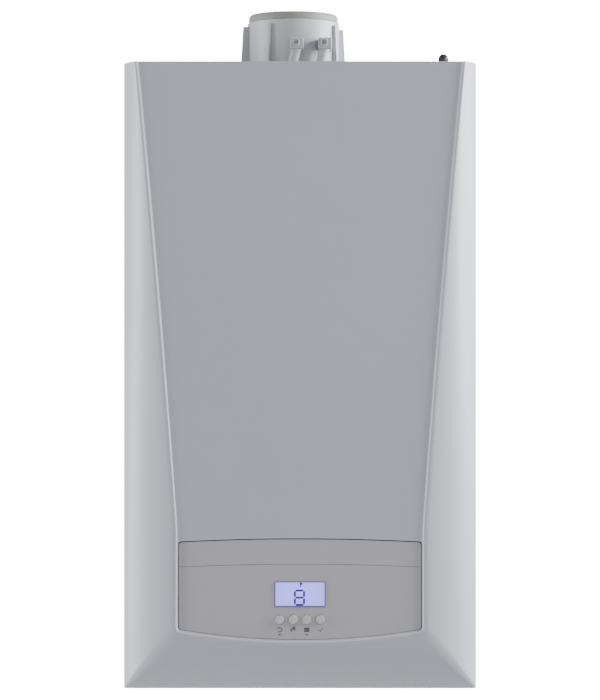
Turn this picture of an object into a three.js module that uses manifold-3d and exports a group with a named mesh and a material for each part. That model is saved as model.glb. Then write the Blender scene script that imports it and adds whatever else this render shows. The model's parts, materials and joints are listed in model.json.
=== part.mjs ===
// Wall-hung condensing boiler in millimetres. X runs to the right, Y back to the wall and Z up.
// Heights in this file start at the bottom edge of the casing, and the last lines move the whole boiler so
// that the origin is the middle of the wall face.
import * as THREE from "three";
import { mergeVertices } from "three/addons/utils/BufferGeometryUtils.js";
import Module from "manifold-3d";

const wasm = await Module();
wasm.setup();

// Casing
const caseWidth = 395;
const caseHeight = 700;
const caseCornerRadius = 4;
const chassisDepth = 200;
const sheet = 1.5;
const seat = 0.3;
const overrun = 6;
const flangeWidth = 14;
const floorHeight = 30;
const hangSlotWidth = 34;
const hangSlotHeight = 9;
const hangSlotDrop = 42;
const hangSlotReach = 95;
const sealWidth = 8;
const sealThickness = 2.4;
const sealEdge = 0.8;
const half = caseWidth / 2;
const webInner = half - sheet;
const panelFlangeInner = half - flangeWidth;

// The fan and the air intake stand in front of the chassis and set how deep the cover is
const coverWall = 2;
const fanSetOut = 5;
const fanWidth = 44;
const intakeRadius = 11;
const intakeClearance = 5.7;
const fanBack = chassisDepth + fanSetOut;
const fanFront = fanBack + fanWidth;
const caseDepth = fanFront + seat + 2 * intakeRadius + intakeClearance + coverWall;

// Places across the boiler, set in from its side panels, and the pipe row with the pump and plates above it
const heatingPipe = 11;
const riserClearance = 19;
const riserReach = webInner - heatingPipe - riserClearance;
const actuatorWidth = 42;
const actuatorClearance = 4;
const pumpX = riserReach - heatingPipe - actuatorClearance - actuatorWidth / 2;
const diverterX = -pumpX;
const pipePitch = pumpX / 2;
const pipeDepth = 105;
const plateHalf = 29;
const plateBack = pipeDepth - plateHalf;
const plateFront = pipeDepth + plateHalf;
const pumpRunBack = 25;
const pumpRunFront = 13;
const pumpBack = pipeDepth - pumpRunBack;
const pumpFront = pipeDepth + pumpRunFront;
const pumpMotorLength = 54;

// Front cover: a flat middle panel that narrows downwards, a rounded step round it, and wings and a chin that
// roll back to the outer edge
const coverEdgeDepth = 34;
const coverStepDepth = 5;
const bandInset = 63.3;
const bandHalf = half - bandInset;
const wingWidth = 18.5;
const panelTopHalf = half - wingWidth;
const panelFootMargin = 0.7;
const panelFootHalf = bandHalf + panelFootMargin;
const stepTopWidth = 5;
const stepFootWidth = 7.6;
const panelBowShare = 0.15;
const rollShare = 0.93;
const rollLeanShare = 0.35;
const panelFootCorner = 64;
const rowShares = [1, 0.97, 0.82, 0.62, 0.4, 0.16, 0];
const panelFootColumns = 10;
const ringShares = [0.25, 0.5, 0.72, 0.88, 1];
const stepRingShares = [0.35, 0.7, 1];
const innerRingShares = [0.5, 0.8, 1];
const innerStepShares = [1];

// Opening for the controls, a band with bowed edges
const bandTopEnd = 165.8;
const bandTopMiddle = 169.6;
const bandFootEnd = 68.4;
const bandFootMiddle = 57;
const bandCorner = 5;
const bandGap = 0.9;
const seamEnd = 137.6;
const seamMiddle = 140.9;
const seamGap = 0.4;

// Control box behind the band
const fasciaFront = 0.6;
const fasciaThickness = 10;
const fasciaWall = 2.6;
const fasciaRoll = 2;
const fasciaRollWidth = 14;
const boxSideMargin = 4.8;
const boxHalf = bandHalf + boxSideMargin;
const boxFootMargin = 3;
const boxFoot = bandFootMiddle + boxFootMargin;
const boxTopMargin = 6.4;
const boxTop = bandTopMiddle + boxTopMargin;
const pumpMotorClearance = 14;
const boxBack = pumpFront + pumpMotorLength + pumpMotorClearance;
const boxSetBack = 11.6;
const boxFront = caseDepth - boxSetBack;
const boxWall = 2.5;
const lidPostRadius = 3.5;
const lidPostRise = 36;
const boardMargin = 27;
const boardHalf = boxHalf - boardMargin;
const lidPostInset = 16;
const lidPostReach = boardHalf - lidPostInset;
const boardHeight = 88;
const boardThickness = 1.6;
const boardSetBack = 33;
const boardDepth = caseDepth - boardSetBack;
const chipSize = 16;
const chipRise = 8;
const terminalLength = 40;
const hingePinRadius = 3;
const hingeSetBack = 17;
const hingeDepth = caseDepth - hingeSetBack;
const hingeDrop = 10;
const hingeHeight = boxFoot - hingeDrop;
const hingeArm = 10;
const bracketThickness = 2;
const bracketHeight = 30;
const bracketRun = 50;
const bracketTail = chassisDepth - bracketRun;
const bracketNose = 6;
const displayWidth = 57;
const displayHeight = 28.8;
const displayMiddle = 107.8;
const displayRecess = 1.4;
const displayThickness = 2;
const displayCorner = 1.5;
const buttonRadius = 5;
const buttonPitch = 15.1;
const buttonHeight = 79.6;
const buttonProud = 0.9;
const buttonLength = 14;
const buttonGap = 0.4;
const buttonTravel = 1;
const buttonCollar = 1.4;
const collarThickness = 1.2;
const switchRadius = 2.4;

// Flue adaptor on the roof, with its fins and two test points
const flueX = -7.7;
const flueSetBack = 70;
const flueDepth = chassisDepth - flueSetBack;
const socketRadius = 53;
const socketWall = 2.5;
const socketHeight = 59.2;
const gasketThickness = 2.4;
const gasketWidth = 10;
const adaptorFlange = 61.5;
const adaptorFlangeThickness = 3;
const finCount = 8;
const finTurn = 15;
const finThickness = 3;
const finFootRadius = 60.4;
const finHeadRadius = 57;
const finHeight = 56;
const lipSealHeight = 9;
const lipSealRadius = 51.8;
const lipSealWall = 3.4;
const lipSkirtHeight = 8;
const lipSkirtWall = 1.6;
const fluePipeRadius = 32;
const fluePipeWall = 2;
const fluePipeHeadRise = 61;
const spiderHeight = 6;
const spiderRise = 9;
const spiderRing = 2.2;
const spiderWeb = 2.4;
const spiderArms = 4;
const portReaches = [3, 35];
const portHead = 13;
const portTop = 36;
const portProud = 12;
const portStemRadius = 4.4;
const portLean = 7;
const portBore = 3.3;
const plugDepth = 9;
const plugHeadRadius = 4.6;
const plugHeadThickness = 1.6;
const roofHoleRadius = 49;

// Heat exchanger and burner
const exchangerHeight = 520;
const exchangerRadius = 95;
const exchangerWall = 7;
const spigotWall = 3.4;
const exchangerBack = flueDepth - fluePipeRadius - spigotWall - 2 * seat;
const exchangerProud = 14;
const exchangerFront = chassisDepth + exchangerProud;
const exchangerRim = 101;
const exchangerRimThickness = 4;
const spigotHeight = 114;
const fluePipeFootRise = 100;
const drainRadius = 9;
const drainBore = 6;
const drainLength = 14;
const drainInset = 18;
const drainDepth = exchangerBack + drainInset;
const coilTube = 8;
const coilTurns = 4;
const coilSides = 6;
const doorRadius = 98;
const doorThickness = 9;
const doorBoltCount = 6;
const doorBoltRadius = 4;
const doorBoltHead = 3;
const doorBoltInset = 7;
const burnerRadius = 33;
const burnerWall = 1.5;
const burnerLength = 96;
const burnerFlange = 42;
const burnerFlangeThickness = 2;
const electrodeReach = 52;
const electrodeRise = 34;
const ceramicRadius = 5;
const wireRadius = 1.4;
const ceramicFront = 16;
const ceramicBack = 14;
const wireLength = 24;
const frameBarHeight = 40;
const frameRing = 112;
const frameThickness = 2;

// Fan, mixer and gas valve
const fanX = -30;
const fanHeight = 348;
const fanWall = 3;
const scrollStart = 47;
const scrollEnd = 60;
const scrollSteps = 16;
const fanCavity = 42;
const inletRadius = 19;
const outletWidth = 34;
const outletHeight = 66;
const outletInset = 4;
const impellerRadius = 39;
const impellerEye = 18;
const impellerPlate = 1.6;
const impellerGap = 2.4;
const bladeCount = 10;
const bladeThickness = 1.6;
const bladeSweep = 34;
const hubRadius = 8;
const shaftRadius = 3;
const fanMotorRadius = 34;
const fanMotorLength = 42;
const fanMotorDome = 8;
const ductReach = 38;
const ductDepth = exchangerFront + ductReach;
const ductSectionWidth = 34;
const ductSectionDepth = 26;
const ductSteps = 12;
const ductRiseShares = [0, 0.1, 0.3, 0.62, 0.86];
const ductForwardShare = 0.25;
const ductUprightShare = 0.2;
const ductHubRadius = 38;
const mixerRadius = 21;
const mixerLength = 17;
const mixerThroat = 13;
const intakeWall = 1.5;
const intakeRun = 128;
const intakeRise = 120;
const intakeBend = 26;
const valveInset = 34;
const valveX = pumpX - valveInset;
const valveSetBack = 4;
const valveDepth = chassisDepth - valveSetBack;
const valveHeight = 262;
const valveWidth = 58;
const valveThickness = 52;
const valveBody = 46;
const coilCanRadius = 14;
const coilCanHeight = 30;
const coilCanReach = 14.6;
const valvePortRadius = 11;
const valvePortLength = 8;
const gasTube = 5;
const gasTubeDrop = 26;

// Pipes and water side
const pipeEnd = 4;
const waterPipe = 7.5;
const gasPipe = 9;
const nutRadius = 16;
const nutHeight = 16;
const nutSides = 6;
const pipeWall = 1.2;
const boreDepth = 18;
const holeGap = 2;
const pipeBend = 22;
const bendSteps = 3;
const pipeSides = 8;
const blockFoot = 66;
const diverterPlateRun = 46;
const plateLeft = diverterX + diverterPlateRun;
const pumpPlateRun = 50;
const plateRight = pumpX - pumpPlateRun;
const gasPipeClearance = 5;
const gasPipeDepth = plateFront + gasPipe + gasPipeClearance;
const plateTop = 142;
const plateCount = 6;
const plateStep = 1.6;
const plateCorner = 12;
const diverterRadius = 18;
const diverterTop = 140;
const diverterBore = 11;
const branchRadius = 9;
const branchHeight = 92;
const riserInlet = 120;
const spindleRadius = 3;
const spindleDisc = 9;
const spindleDiscThickness = 3;
const spindleFoot = 112;
const spindleHead = 14;
const spindleTravel = 8;
const actuatorDepth = 50;
const actuatorHeight = 46;
const actuatorDome = 5;
const pumpHeight = 106;
const pumpRadius = 40;
const pumpWall = 6;
const pumpBossRadius = 12.5;
const riserBoss = 13;
const pumpBossTop = 160;
const pumpMotorRadius = 36;
const pumpFinCount = 10;
const pumpFin = 2.4;
const pumpFinRise = 3;
const pumpImpellerRadius = 28;
const pumpImpellerWidth = 12;
const pumpBladeCount = 6;
const reliefHeight = 84;
const reliefRadius = 8;
const reliefShift = 1;
const reliefDepth = pipeDepth - reliefShift;
const reliefSetBack = 42;
const reliefLength = chassisDepth - reliefDepth - reliefSetBack;
const reliefReach = 47;
const reliefX = pumpX + reliefReach;
const knobRadius = 11;
const knobLength = 15;
const knobLobes = 6;
const knobLobeRadius = 3;
const gaugeInset = 42;
const gaugeX = gaugeInset - boxHalf;
const gaugeSetBack = 32;
const gaugeDepth = chassisDepth - gaugeSetBack;
const gaugeRadius = 19;
const gaugeFoot = 12;
const gaugeHead = 48;
const gaugeRim = 3;
const gaugeRecess = 4;
const needleWidth = 1.6;
const needleThickness = 0.8;
const needlePin = 1.2;
const needleHub = 2.6;
const fillReach = 43;
const fillDepth = pipeDepth + fillReach;
const fillRadius = 9;
const fillFoot = 20;
const fillHead = 60;
const fillKnobRadius = 12;
const fillKnobHeight = 13;
const trapClearance = 9;
const trapBracketGap = 1.7;
const trapOuter = webInner - trapClearance;
const trapInner = boxHalf + seat + bracketThickness + trapBracketGap;
const trapRadius = (trapOuter - trapInner) / 2;
const trapX = -(trapOuter + trapInner) / 2;
const trapReach = 47;
const trapDepth = pipeDepth + trapReach;
const trapFoot = 38;
const trapHead = 186;
const trapWaistShare = 0.55;
const trapNeckShare = 0.8;
const trapOutlet = 8;
const hoseRadius = 9;
const hoseWall = 2;
const hoseBend = 30;
const vesselHalf = 150;
const vesselFoot = 280;
const vesselHead = 660;
const vesselClearance = 16.2;
const vesselThickness = exchangerBack - sheet - seat - vesselClearance;
const vesselCorner = 60;
const vesselCrown = 12;
const vesselSeam = 5;
const vesselSeamThickness = 3;
const vesselPort = 8;
const vesselPortLength = 10;
const vesselPortInset = 34;
const vesselPortX = pumpX - vesselPortInset;
const flexTube = 5;
const hoseY = -(pumpBack + flexTube * 1.5);
const ventRadius = 13;
const ventClearance = 19;
const ventX = webInner - ventRadius - ventClearance;
const ventSetBack = 20;
const ventDepth = chassisDepth - ventSetBack;
const ventFoot = 640;
const ventHead = 690;
const ventNeck = 4;
const ventCapFoot = 4;
const ventCapHeight = 15;
const ventCapRadius = 5.8;
const ventCapTop = 3.7;
const ventHole = 7;

// Facets
const wide = 20;
const middling = 12;
const fine = 8;
const arcSteps = 3;
const bladeSteps = 2;
const weld = 0.0005;

const frontY = -caseDepth;
const coverBack = -(chassisDepth + seat + sealThickness + seat);

const paint = (color, roughness, metalness) => new THREE.MeshStandardMaterial({ color, roughness, metalness });
const finishes = {
  whiteSteel: paint(0xd8d9dc, 0.5, 0.1),
  silverShell: paint(0xb4b5bb, 0.42, 0.25),
  silverTrim: paint(0xaeabb1, 0.45, 0.2),
  zinc: paint(0xa9adb0, 0.4, 0.8),
  flueGrey: paint(0xc3c6c8, 0.5, 0),
  olive: paint(0x8d8f85, 0.7, 0),
  black: paint(0x1d1e20, 0.55, 0),
  darkPlastic: paint(0x3a3c40, 0.6, 0),
  aluminium: paint(0xa4a7aa, 0.5, 0.85),
  stainless: paint(0xb9bcbf, 0.3, 0.95),
  brass: paint(0xb08d4a, 0.4, 0.9),
  copper: paint(0xb5704a, 0.38, 0.95),
  red: paint(0xa8231f, 0.5, 0.1),
  blue: paint(0x2b5f9e, 0.5, 0),
  foam: paint(0x2a2b2d, 0.9, 0),
  glass: paint(0xb9b9e6, 0.2, 0),
  greige: paint(0xb9b4ae, 0.5, 0),
  board: paint(0x1f5b3a, 0.6, 0),
  ceramic: paint(0xe8e4da, 0.5, 0),
  whitePlastic: paint(0xdddcd6, 0.5, 0),
};

// Shapes are joined and cut as solids, then handed on as geometry.
function solid(geometry) {
  geometry.deleteAttribute("normal");
  geometry.deleteAttribute("uv");
  const merged = mergeVertices(geometry, weld);
  const corners = merged.index.array;
  const kept = [];
  for (let i = 0; i < corners.length; i += 3) {
    const [a, b, c] = [corners[i], corners[i + 1], corners[i + 2]];
    if (a !== b && b !== c && c !== a) kept.push(a, b, c);
  }
  const vertProperties = new Float32Array(merged.attributes.position.array);
  return new wasm.Manifold(new wasm.Mesh({ numProp: 3, vertProperties, triVerts: new Uint32Array(kept) }));
}

function geometryOf(body) {
  const mesh = body.getMesh();
  const geometry = new THREE.BufferGeometry();
  const places = new THREE.BufferAttribute(new Float32Array(mesh.vertProperties), mesh.numProp);
  geometry.setAttribute("position", places);
  geometry.setIndex(new THREE.BufferAttribute(new Uint32Array(mesh.triVerts), 1));
  geometry.computeVertexNormals();
  return geometry;
}

function addPiece(parent, name, body, material) {
  const mesh = new THREE.Mesh(geometryOf(body), material);
  mesh.name = name;
  parent.add(mesh);
  return mesh;
}

function addGroup(parent, x, y, z) {
  const group = new THREE.Group();
  group.position.set(x, y, z);
  parent.add(group);
  return group;
}

const join = (...bodies) => bodies.reduce((sum, body) => sum.add(body));
const cut = (body, ...tools) => tools.reduce((rest, tool) => rest.subtract(tool), body);

// A block between two values on each axis.
function block(x0, x1, y0, y1, z0, z1) {
  const geometry = new THREE.BoxGeometry(Math.abs(x1 - x0), Math.abs(y1 - y0), Math.abs(z1 - z0));
  return solid(geometry.translate((x0 + x1) / 2, (y0 + y1) / 2, (z0 + z1) / 2));
}

// Round bars along each axis, centred at the other two values.
function barZ(radius, z0, z1, x, y, sides = middling, headRadius = radius) {
  const geometry = new THREE.CylinderGeometry(headRadius, radius, Math.abs(z1 - z0), sides);
  return solid(geometry.rotateX(Math.PI / 2).translate(x, y, (z0 + z1) / 2));
}

function barY(radius, y0, y1, x, z, sides = middling) {
  const geometry = new THREE.CylinderGeometry(radius, radius, Math.abs(y1 - y0), sides);
  return solid(geometry.translate(x, (y0 + y1) / 2, z));
}

function barX(radius, x0, x1, y, z, sides = middling) {
  const geometry = new THREE.CylinderGeometry(radius, radius, Math.abs(x1 - x0), sides);
  return solid(geometry.rotateZ(Math.PI / 2).translate((x0 + x1) / 2, y, z));
}

// A closed profile of radius and height turned round Z; one that leaves the axis closes on its first point.
function turned(profile, sides = wide) {
  const onAxis = profile[0][0] === 0 && profile[profile.length - 1][0] === 0;
  const outline = onAxis ? profile : [...profile, profile[0]];
  const points = outline.map(([radius, height]) => new THREE.Vector2(radius, height));
  return solid(new THREE.LatheGeometry(points, sides).rotateX(Math.PI / 2));
}

// An outline on X and Z, made thick along Y from y0 to y1.
function slab(shape, y0, y1, curveSegments = arcSteps) {
  const depth = Math.abs(y1 - y0);
  const geometry = new THREE.ExtrudeGeometry(shape, { depth, bevelEnabled: false, curveSegments });
  return solid(geometry.rotateX(Math.PI / 2).translate(0, Math.max(y0, y1), 0));
}

// An outline on X and Y, made thick along Z from z0 up to z1.
function plinth(shape, z0, z1, curveSegments = arcSteps) {
  const geometry = new THREE.ExtrudeGeometry(shape, { depth: z1 - z0, bevelEnabled: false, curveSegments });
  return solid(geometry.translate(0, 0, z0));
}

function roundedRectangle(x0, x1, y0, y1, radius) {
  const shape = new THREE.Shape();
  shape.moveTo(x0 + radius, y0);
  shape.lineTo(x1 - radius, y0);
  shape.absarc(x1 - radius, y0 + radius, radius, -Math.PI / 2, 0, false);
  shape.lineTo(x1, y1 - radius);
  shape.absarc(x1 - radius, y1 - radius, radius, 0, Math.PI / 2, false);
  shape.lineTo(x0 + radius, y1);
  shape.absarc(x0 + radius, y1 - radius, radius, Math.PI / 2, Math.PI, false);
  shape.lineTo(x0, y0 + radius);
  shape.absarc(x0 + radius, y0 + radius, radius, Math.PI, 1.5 * Math.PI, false);
  return shape;
}

// A round bar along straight runs joined by arcs of one bend radius.
function bentPath(points, bend) {
  const corners = points.map((point) => new THREE.Vector3(...point));
  const path = new THREE.CurvePath();
  let start = corners[0];
  for (let i = 1; i < corners.length - 1; i += 1) {
    const back = corners[i - 1].clone().sub(corners[i]);
    const ahead = corners[i + 1].clone().sub(corners[i]);
    const reach = Math.min(bend, back.length() / 2.05, ahead.length() / 2.05);
    const entry = corners[i].clone().addScaledVector(back.normalize(), reach);
    const exit = corners[i].clone().addScaledVector(ahead.normalize(), reach);
    path.add(new THREE.LineCurve3(start, entry));
    path.add(new THREE.QuadraticBezierCurve3(entry, corners[i], exit));
    start = exit;
  }
  path.add(new THREE.LineCurve3(start, corners[corners.length - 1]));
  return path;
}

// Rings of points set square to a path at the ends of its runs and along its bends, skinned into one body.
function pipe(points, radius, bend = pipeBend, sides = pipeSides, steps = bendSteps) {
  const path = bentPath(points, bend);
  const places = [];
  path.curves.forEach((curve, index) => {
    const count = curve.isLineCurve3 ? 1 : steps;
    for (let k = index === 0 ? 0 : 1; k <= count; k += 1) {
      places.push([curve.getPoint(k / count), curve.getTangent(k / count)]);
    }
  });
  const rings = [];
  let side = new THREE.Vector3(1, 0, 0);
  if (Math.abs(places[0][1].x) > Math.SQRT1_2) side = new THREE.Vector3(0, 1, 0);
  for (const [centre, tangent] of places) {
    side = side.clone().addScaledVector(tangent, -side.dot(tangent)).normalize();
    const other = tangent.clone().cross(side);
    const ring = [];
    for (let k = 0; k < sides; k += 1) {
      const angle = (2 * Math.PI * k) / sides;
      const spoke = side.clone().multiplyScalar(radius * Math.cos(angle));
      ring.push(centre.clone().add(spoke).addScaledVector(other, radius * Math.sin(angle)));
    }
    rings.push(ring);
  }
  return skin(rings);
}

// Rings of equal count make a tube with flat ends.
function skin(rings) {
  const sides = rings[0].length;
  const positions = rings.flat().flatMap((point) => [point.x, point.y, point.z]);
  const index = [];
  for (let i = 0; i + 1 < rings.length; i += 1) {
    for (let k = 0; k < sides; k += 1) {
      const a = i * sides + k;
      const b = i * sides + ((k + 1) % sides);
      index.push(a, b, b + sides, a, b + sides, a + sides);
    }
  }
  const last = (rings.length - 1) * sides;
  for (let k = 1; k + 1 < sides; k += 1) {
    index.push(0, k + 1, k, last, last + k, last + k + 1);
  }
  const geometry = new THREE.BufferGeometry();
  geometry.setAttribute("position", new THREE.Float32BufferAttribute(positions, 3));
  geometry.setIndex(index);
  return solid(geometry);
}

// Half-width of the flat middle panel at a height, and the width of the step beside it.
function panelHalf(height) {
  const share = Math.max(0, (height - bandTopEnd) / (caseHeight - bandTopEnd));
  const bowed = share * (1 - panelBowShare) + share * share * panelBowShare;
  return panelFootHalf + (panelTopHalf - panelFootHalf) * bowed;
}

function stepWidth(height) {
  const share = Math.max(0, (height - bandTopEnd) / (caseHeight - bandTopEnd));
  return stepFootWidth + (stepTopWidth - stepFootWidth) * share;
}

// The panel's lower edge runs parallel to the bowed foot of the control band.
function panelFoot(x) {
  const share = Math.min(1, Math.abs(x) / bandHalf);
  const rim = bandFootEnd - panelFootCorner;
  return bandFootMiddle - rim + (bandFootEnd - bandFootMiddle) * share * share;
}

// The outside of the cover as a closed body: a grid on the flat panel, and rings that leave its two sides and
// foot, go down the step and roll back to the outline. Inset moves every wall inwards.
function coverBody(inset, back, stepShares, rollShares) {
  const outerHalf = half - inset;
  const headZ = caseHeight - inset;
  const footZ = inset;
  const top = frontY + inset;
  const rows = rowShares.map((share) => panelFootCorner + (headZ - panelFootCorner) * share);
  const columns = [];
  for (let i = 0; i <= panelFootColumns; i += 1) columns.push((2 * i) / panelFootColumns - 1);
  const vertices = [];
  const faces = [];
  const add = (x, y, z) => vertices.push(x, y, z) / 3 - 1;
  const quad = (a, b, c, d) => faces.push(a, b, c, a, c, d);
  const narrow = Math.min(inset, stepFootWidth) * 0.5;

  const grid = rows.map((z, i) => columns.map((share) => {
    const lastRow = i === rows.length - 1;
    const x = share * (panelHalf(z) - narrow);
    return add(x, top, lastRow ? panelFoot(x) + narrow : z);
  }));
  for (let i = 0; i + 1 < grid.length; i += 1) {
    for (let k = 0; k + 1 < columns.length; k += 1) {
      quad(grid[i][k], grid[i + 1][k], grid[i + 1][k + 1], grid[i][k + 1]);
    }
  }

  // The way round the panel, from its top left corner down, across and up to its top right corner.
  const rim = [];
  rows.forEach((z, i) => rim.push({ index: grid[i][0], z, side: -1 }));
  for (let k = 1; k + 1 < columns.length; k += 1) {
    rim.push({ index: grid[rows.length - 1][k], share: columns[k], side: 0 });
  }
  [...rows].reverse().forEach((z, i) => {
    rim.push({ index: grid[rows.length - 1 - i][columns.length - 1], z, side: 1 });
  });
  const placeOf = (index) => vertices.slice(3 * index, 3 * index + 3);
  const stepFoot = rim.map(({ index, z, side }) => {
    const [x, , height] = placeOf(index);
    if (side === 0) return [x, height - stepFootWidth];
    const corner = z === rows[rows.length - 1];
    return [x + side * stepWidth(z), corner ? height - stepFootWidth : z];
  });
  const outline = rim.map(({ z, side, share }) => {
    if (side === 0) return [share * outerHalf, footZ];
    return [side * outerHalf, z === rows[rows.length - 1] ? footZ : z];
  });
  let ring = rim.map(({ index }) => index);
  const strip = (next) => {
    for (let i = 0; i + 1 < ring.length; i += 1) quad(ring[i + 1], ring[i], next[i], next[i + 1]);
    ring = next;
  };
  const mix = (from, to, share) => from + (to - from) * share;
  for (const share of stepShares) {
    const fall = coverStepDepth * (1 - Math.cos(Math.PI * share)) / 2;
    strip(rim.map(({ index }, i) => {
      const [x, , z] = placeOf(index);
      const [footX, footHeight] = stepFoot[i];
      return add(mix(x, footX, share), top + fall, mix(z, footHeight, share));
    }));
  }
  const rollEnd = 1 - Math.sqrt(1 - rollShare * rollShare);
  for (const share of rollShares) {
    const roll = (1 - Math.sqrt(1 - (rollShare * share) ** 2)) / rollEnd;
    const fall = mix(coverStepDepth, coverEdgeDepth, mix(roll, share, rollLeanShare));
    strip(outline.map(([x, z], i) => {
      const [footX, footHeight] = stepFoot[i];
      return add(mix(footX, x, share), top + fall, mix(footHeight, z, share));
    }));
  }
  const behind = outline.map(([x, z]) => add(x, back, z));
  strip(behind);

  // The head is flat: a fan over every edge that ends on it, from a point behind the middle.
  const headLeft = [];
  const headRight = [];
  const across = rim.length;
  const ringTotal = stepShares.length + rollShares.length + 1;
  const firstRing = rows.length * columns.length;
  for (let i = 0; i < ringTotal; i += 1) {
    headLeft.push(firstRing + i * across);
    headRight.push(firstRing + i * across + across - 1);
  }
  const head = [...headLeft.reverse(), ...grid[0], ...headRight];
  const headBack = add(0, back, headZ);
  for (let i = 0; i + 1 < head.length; i += 1) faces.push(head[i], head[i + 1], headBack);
  const rear = [...behind, headBack];
  const middle = add(0, back, caseHeight / 2);
  for (let i = 0; i < rear.length; i += 1) faces.push(rear[i], middle, rear[(i + 1) % rear.length]);
  const geometry = new THREE.BufferGeometry();
  geometry.setAttribute("position", new THREE.Float32BufferAttribute(vertices, 3));
  geometry.setIndex(faces);
  return solid(geometry);
}

// The control band's outline, drawn in by a margin, between a lower and an upper bowed edge.
function bowedBand(footEnd, footMiddle, topEnd, topMiddle, margin, corner) {
  const reach = bandHalf - margin;
  const low = footEnd + margin;
  const high = topEnd - margin;
  const shape = new THREE.Shape();
  const footPull = 2 * (footMiddle + margin) - low;
  const topPull = 2 * (topMiddle - margin) - high;
  shape.moveTo(-reach, low + corner);
  shape.quadraticCurveTo(-reach, low, -reach + corner, low - (low - footPull) * corner / reach);
  shape.quadraticCurveTo(0, footPull, reach - corner, low - (low - footPull) * corner / reach);
  shape.quadraticCurveTo(reach, low, reach, low + corner);
  shape.lineTo(reach, high - corner);
  shape.quadraticCurveTo(reach, high, reach - corner, high + (topPull - high) * corner / reach);
  shape.quadraticCurveTo(0, topPull, -reach + corner, high + (topPull - high) * corner / reach);
  shape.quadraticCurveTo(-reach, high, -reach, high - corner);
  return shape;
}

function bandShape(margin) {
  return bowedBand(bandFootEnd, bandFootMiddle, bandTopEnd, bandTopMiddle, margin, bandCorner);
}

function frontCover() {
  const outside = coverBody(0, coverBack, stepRingShares, ringShares);
  const inside = coverBody(coverWall, coverBack + overrun, innerStepShares, innerRingShares);
  const shell = cut(outside, inside);
  const opening = slab(bandShape(0), frontY - overrun, frontY + fasciaThickness);
  const outline = roundedRectangle(-half, half, 0, caseHeight, caseCornerRadius);
  const trim = slab(outline, frontY - overrun, coverBack + overrun);
  return cut(shell, opening).intersect(trim);
}

function coverSeal() {
  const front = -(chassisDepth + seat + sealThickness);
  const back = -(chassisDepth + seat);
  const reach = half - sealEdge;
  const outline = roundedRectangle(-reach, reach, sealEdge, caseHeight - sealEdge, sealWidth);
  const outer = slab(outline, front, back);
  const inset = sealEdge + sealWidth;
  const inner = block(inset - half, half - inset, front - overrun, back + overrun, inset, caseHeight - inset);
  return cut(outer, inner);
}

// Back and sides are one folded sheet, with a lip along each front edge for the seal.
function chassis() {
  const back = block(-half, half, -sheet, 0, 0, caseHeight);
  const folds = [-1, 1].map((side) => {
    const web = block(side * webInner, side * half, -chassisDepth, 0, 0, caseHeight);
    const [lipFront, lipBack] = [-chassisDepth, sheet - chassisDepth];
    return web.add(block(side * panelFlangeInner, side * half, lipFront, lipBack, 0, caseHeight));
  });
  const slots = [-1, 1].map((side) => {
    const x = side * hangSlotReach;
    const z = caseHeight - hangSlotDrop;
    const shape = roundedRectangle(x - hangSlotWidth / 2, x + hangSlotWidth / 2, z - hangSlotHeight / 2,
      z + hangSlotHeight / 2, hangSlotHeight / 3);
    return slab(shape, -sheet - overrun, overrun, 1);
  });
  return cut(join(back, ...folds), ...slots);
}

// A roof or floor sheet between the side panels, with a lip behind the seal.
function deck(z0, lipFoot, lipHead) {
  const reach = webInner - seat;
  const back = -(sheet + seat);
  const lipReach = panelFlangeInner - seat;
  const behind = -(chassisDepth - sheet - seat);
  const plate = block(-reach, reach, behind, back, z0, z0 + sheet);
  const tongue = block(-lipReach, lipReach, -chassisDepth, behind, z0, z0 + sheet);
  const lip = block(-lipReach, lipReach, -chassisDepth, sheet - chassisDepth, lipFoot, lipHead);
  return join(plate, tongue, lip);
}

function topPanel() {
  const plate = deck(caseHeight - sheet, caseHeight - flangeWidth, caseHeight);
  const low = caseHeight - sheet - overrun;
  const high = caseHeight + overrun;
  const flueHole = barZ(roofHoleRadius, low, high, flueX, -flueDepth, wide);
  return cut(plate, flueHole, barZ(ventHole, low, high, ventX, -ventDepth, fine));
}

// Each pipe of the row below the casing: its name, place, radius and finish.
const pipeRow = [
  { name: "heating_flow_pipe", x: -2 * pipePitch, y: -pipeDepth, radius: heatingPipe },
  { name: "hot_water_pipe", x: -pipePitch, y: -pipeDepth, radius: waterPipe },
  { name: "gas_supply_pipe", x: 0, y: -gasPipeDepth, radius: gasPipe },
  { name: "cold_water_pipe", x: pipePitch, y: -pipeDepth, radius: waterPipe },
  { name: "heating_return_pipe", x: 2 * pipePitch, y: -pipeDepth, radius: heatingPipe },
];

function bottomPanel() {
  const plate = deck(floorHeight, 0, floorHeight + sheet);
  const low = floorHeight - overrun;
  const high = floorHeight + sheet + overrun;
  const holes = pipeRow.map(({ x, y, radius }) => barZ(radius + holeGap, low, high, x, y, fine));
  holes.push(barZ(gaugeRadius + seat, low, high, gaugeX, -gaugeDepth, middling));
  holes.push(barZ(fillRadius + holeGap, low, high, pipePitch, -fillDepth, fine));
  holes.push(barZ(trapOutlet + holeGap, low, high, trapX, -trapDepth, fine));
  return join(cut(plate, ...holes), hingeBracket(-1), hingeBracket(1));
}

function addCasing(root) {
  addPiece(root, "chassis", chassis(), finishes.whiteSteel);
  addPiece(root, "top_panel", topPanel(), finishes.zinc);
  addPiece(root, "bottom_panel", bottomPanel(), finishes.zinc);
  addPiece(root, "cover_seal", coverSeal(), finishes.foam);
  addPiece(root, "front_cover", frontCover(), finishes.silverShell);
}

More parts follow.
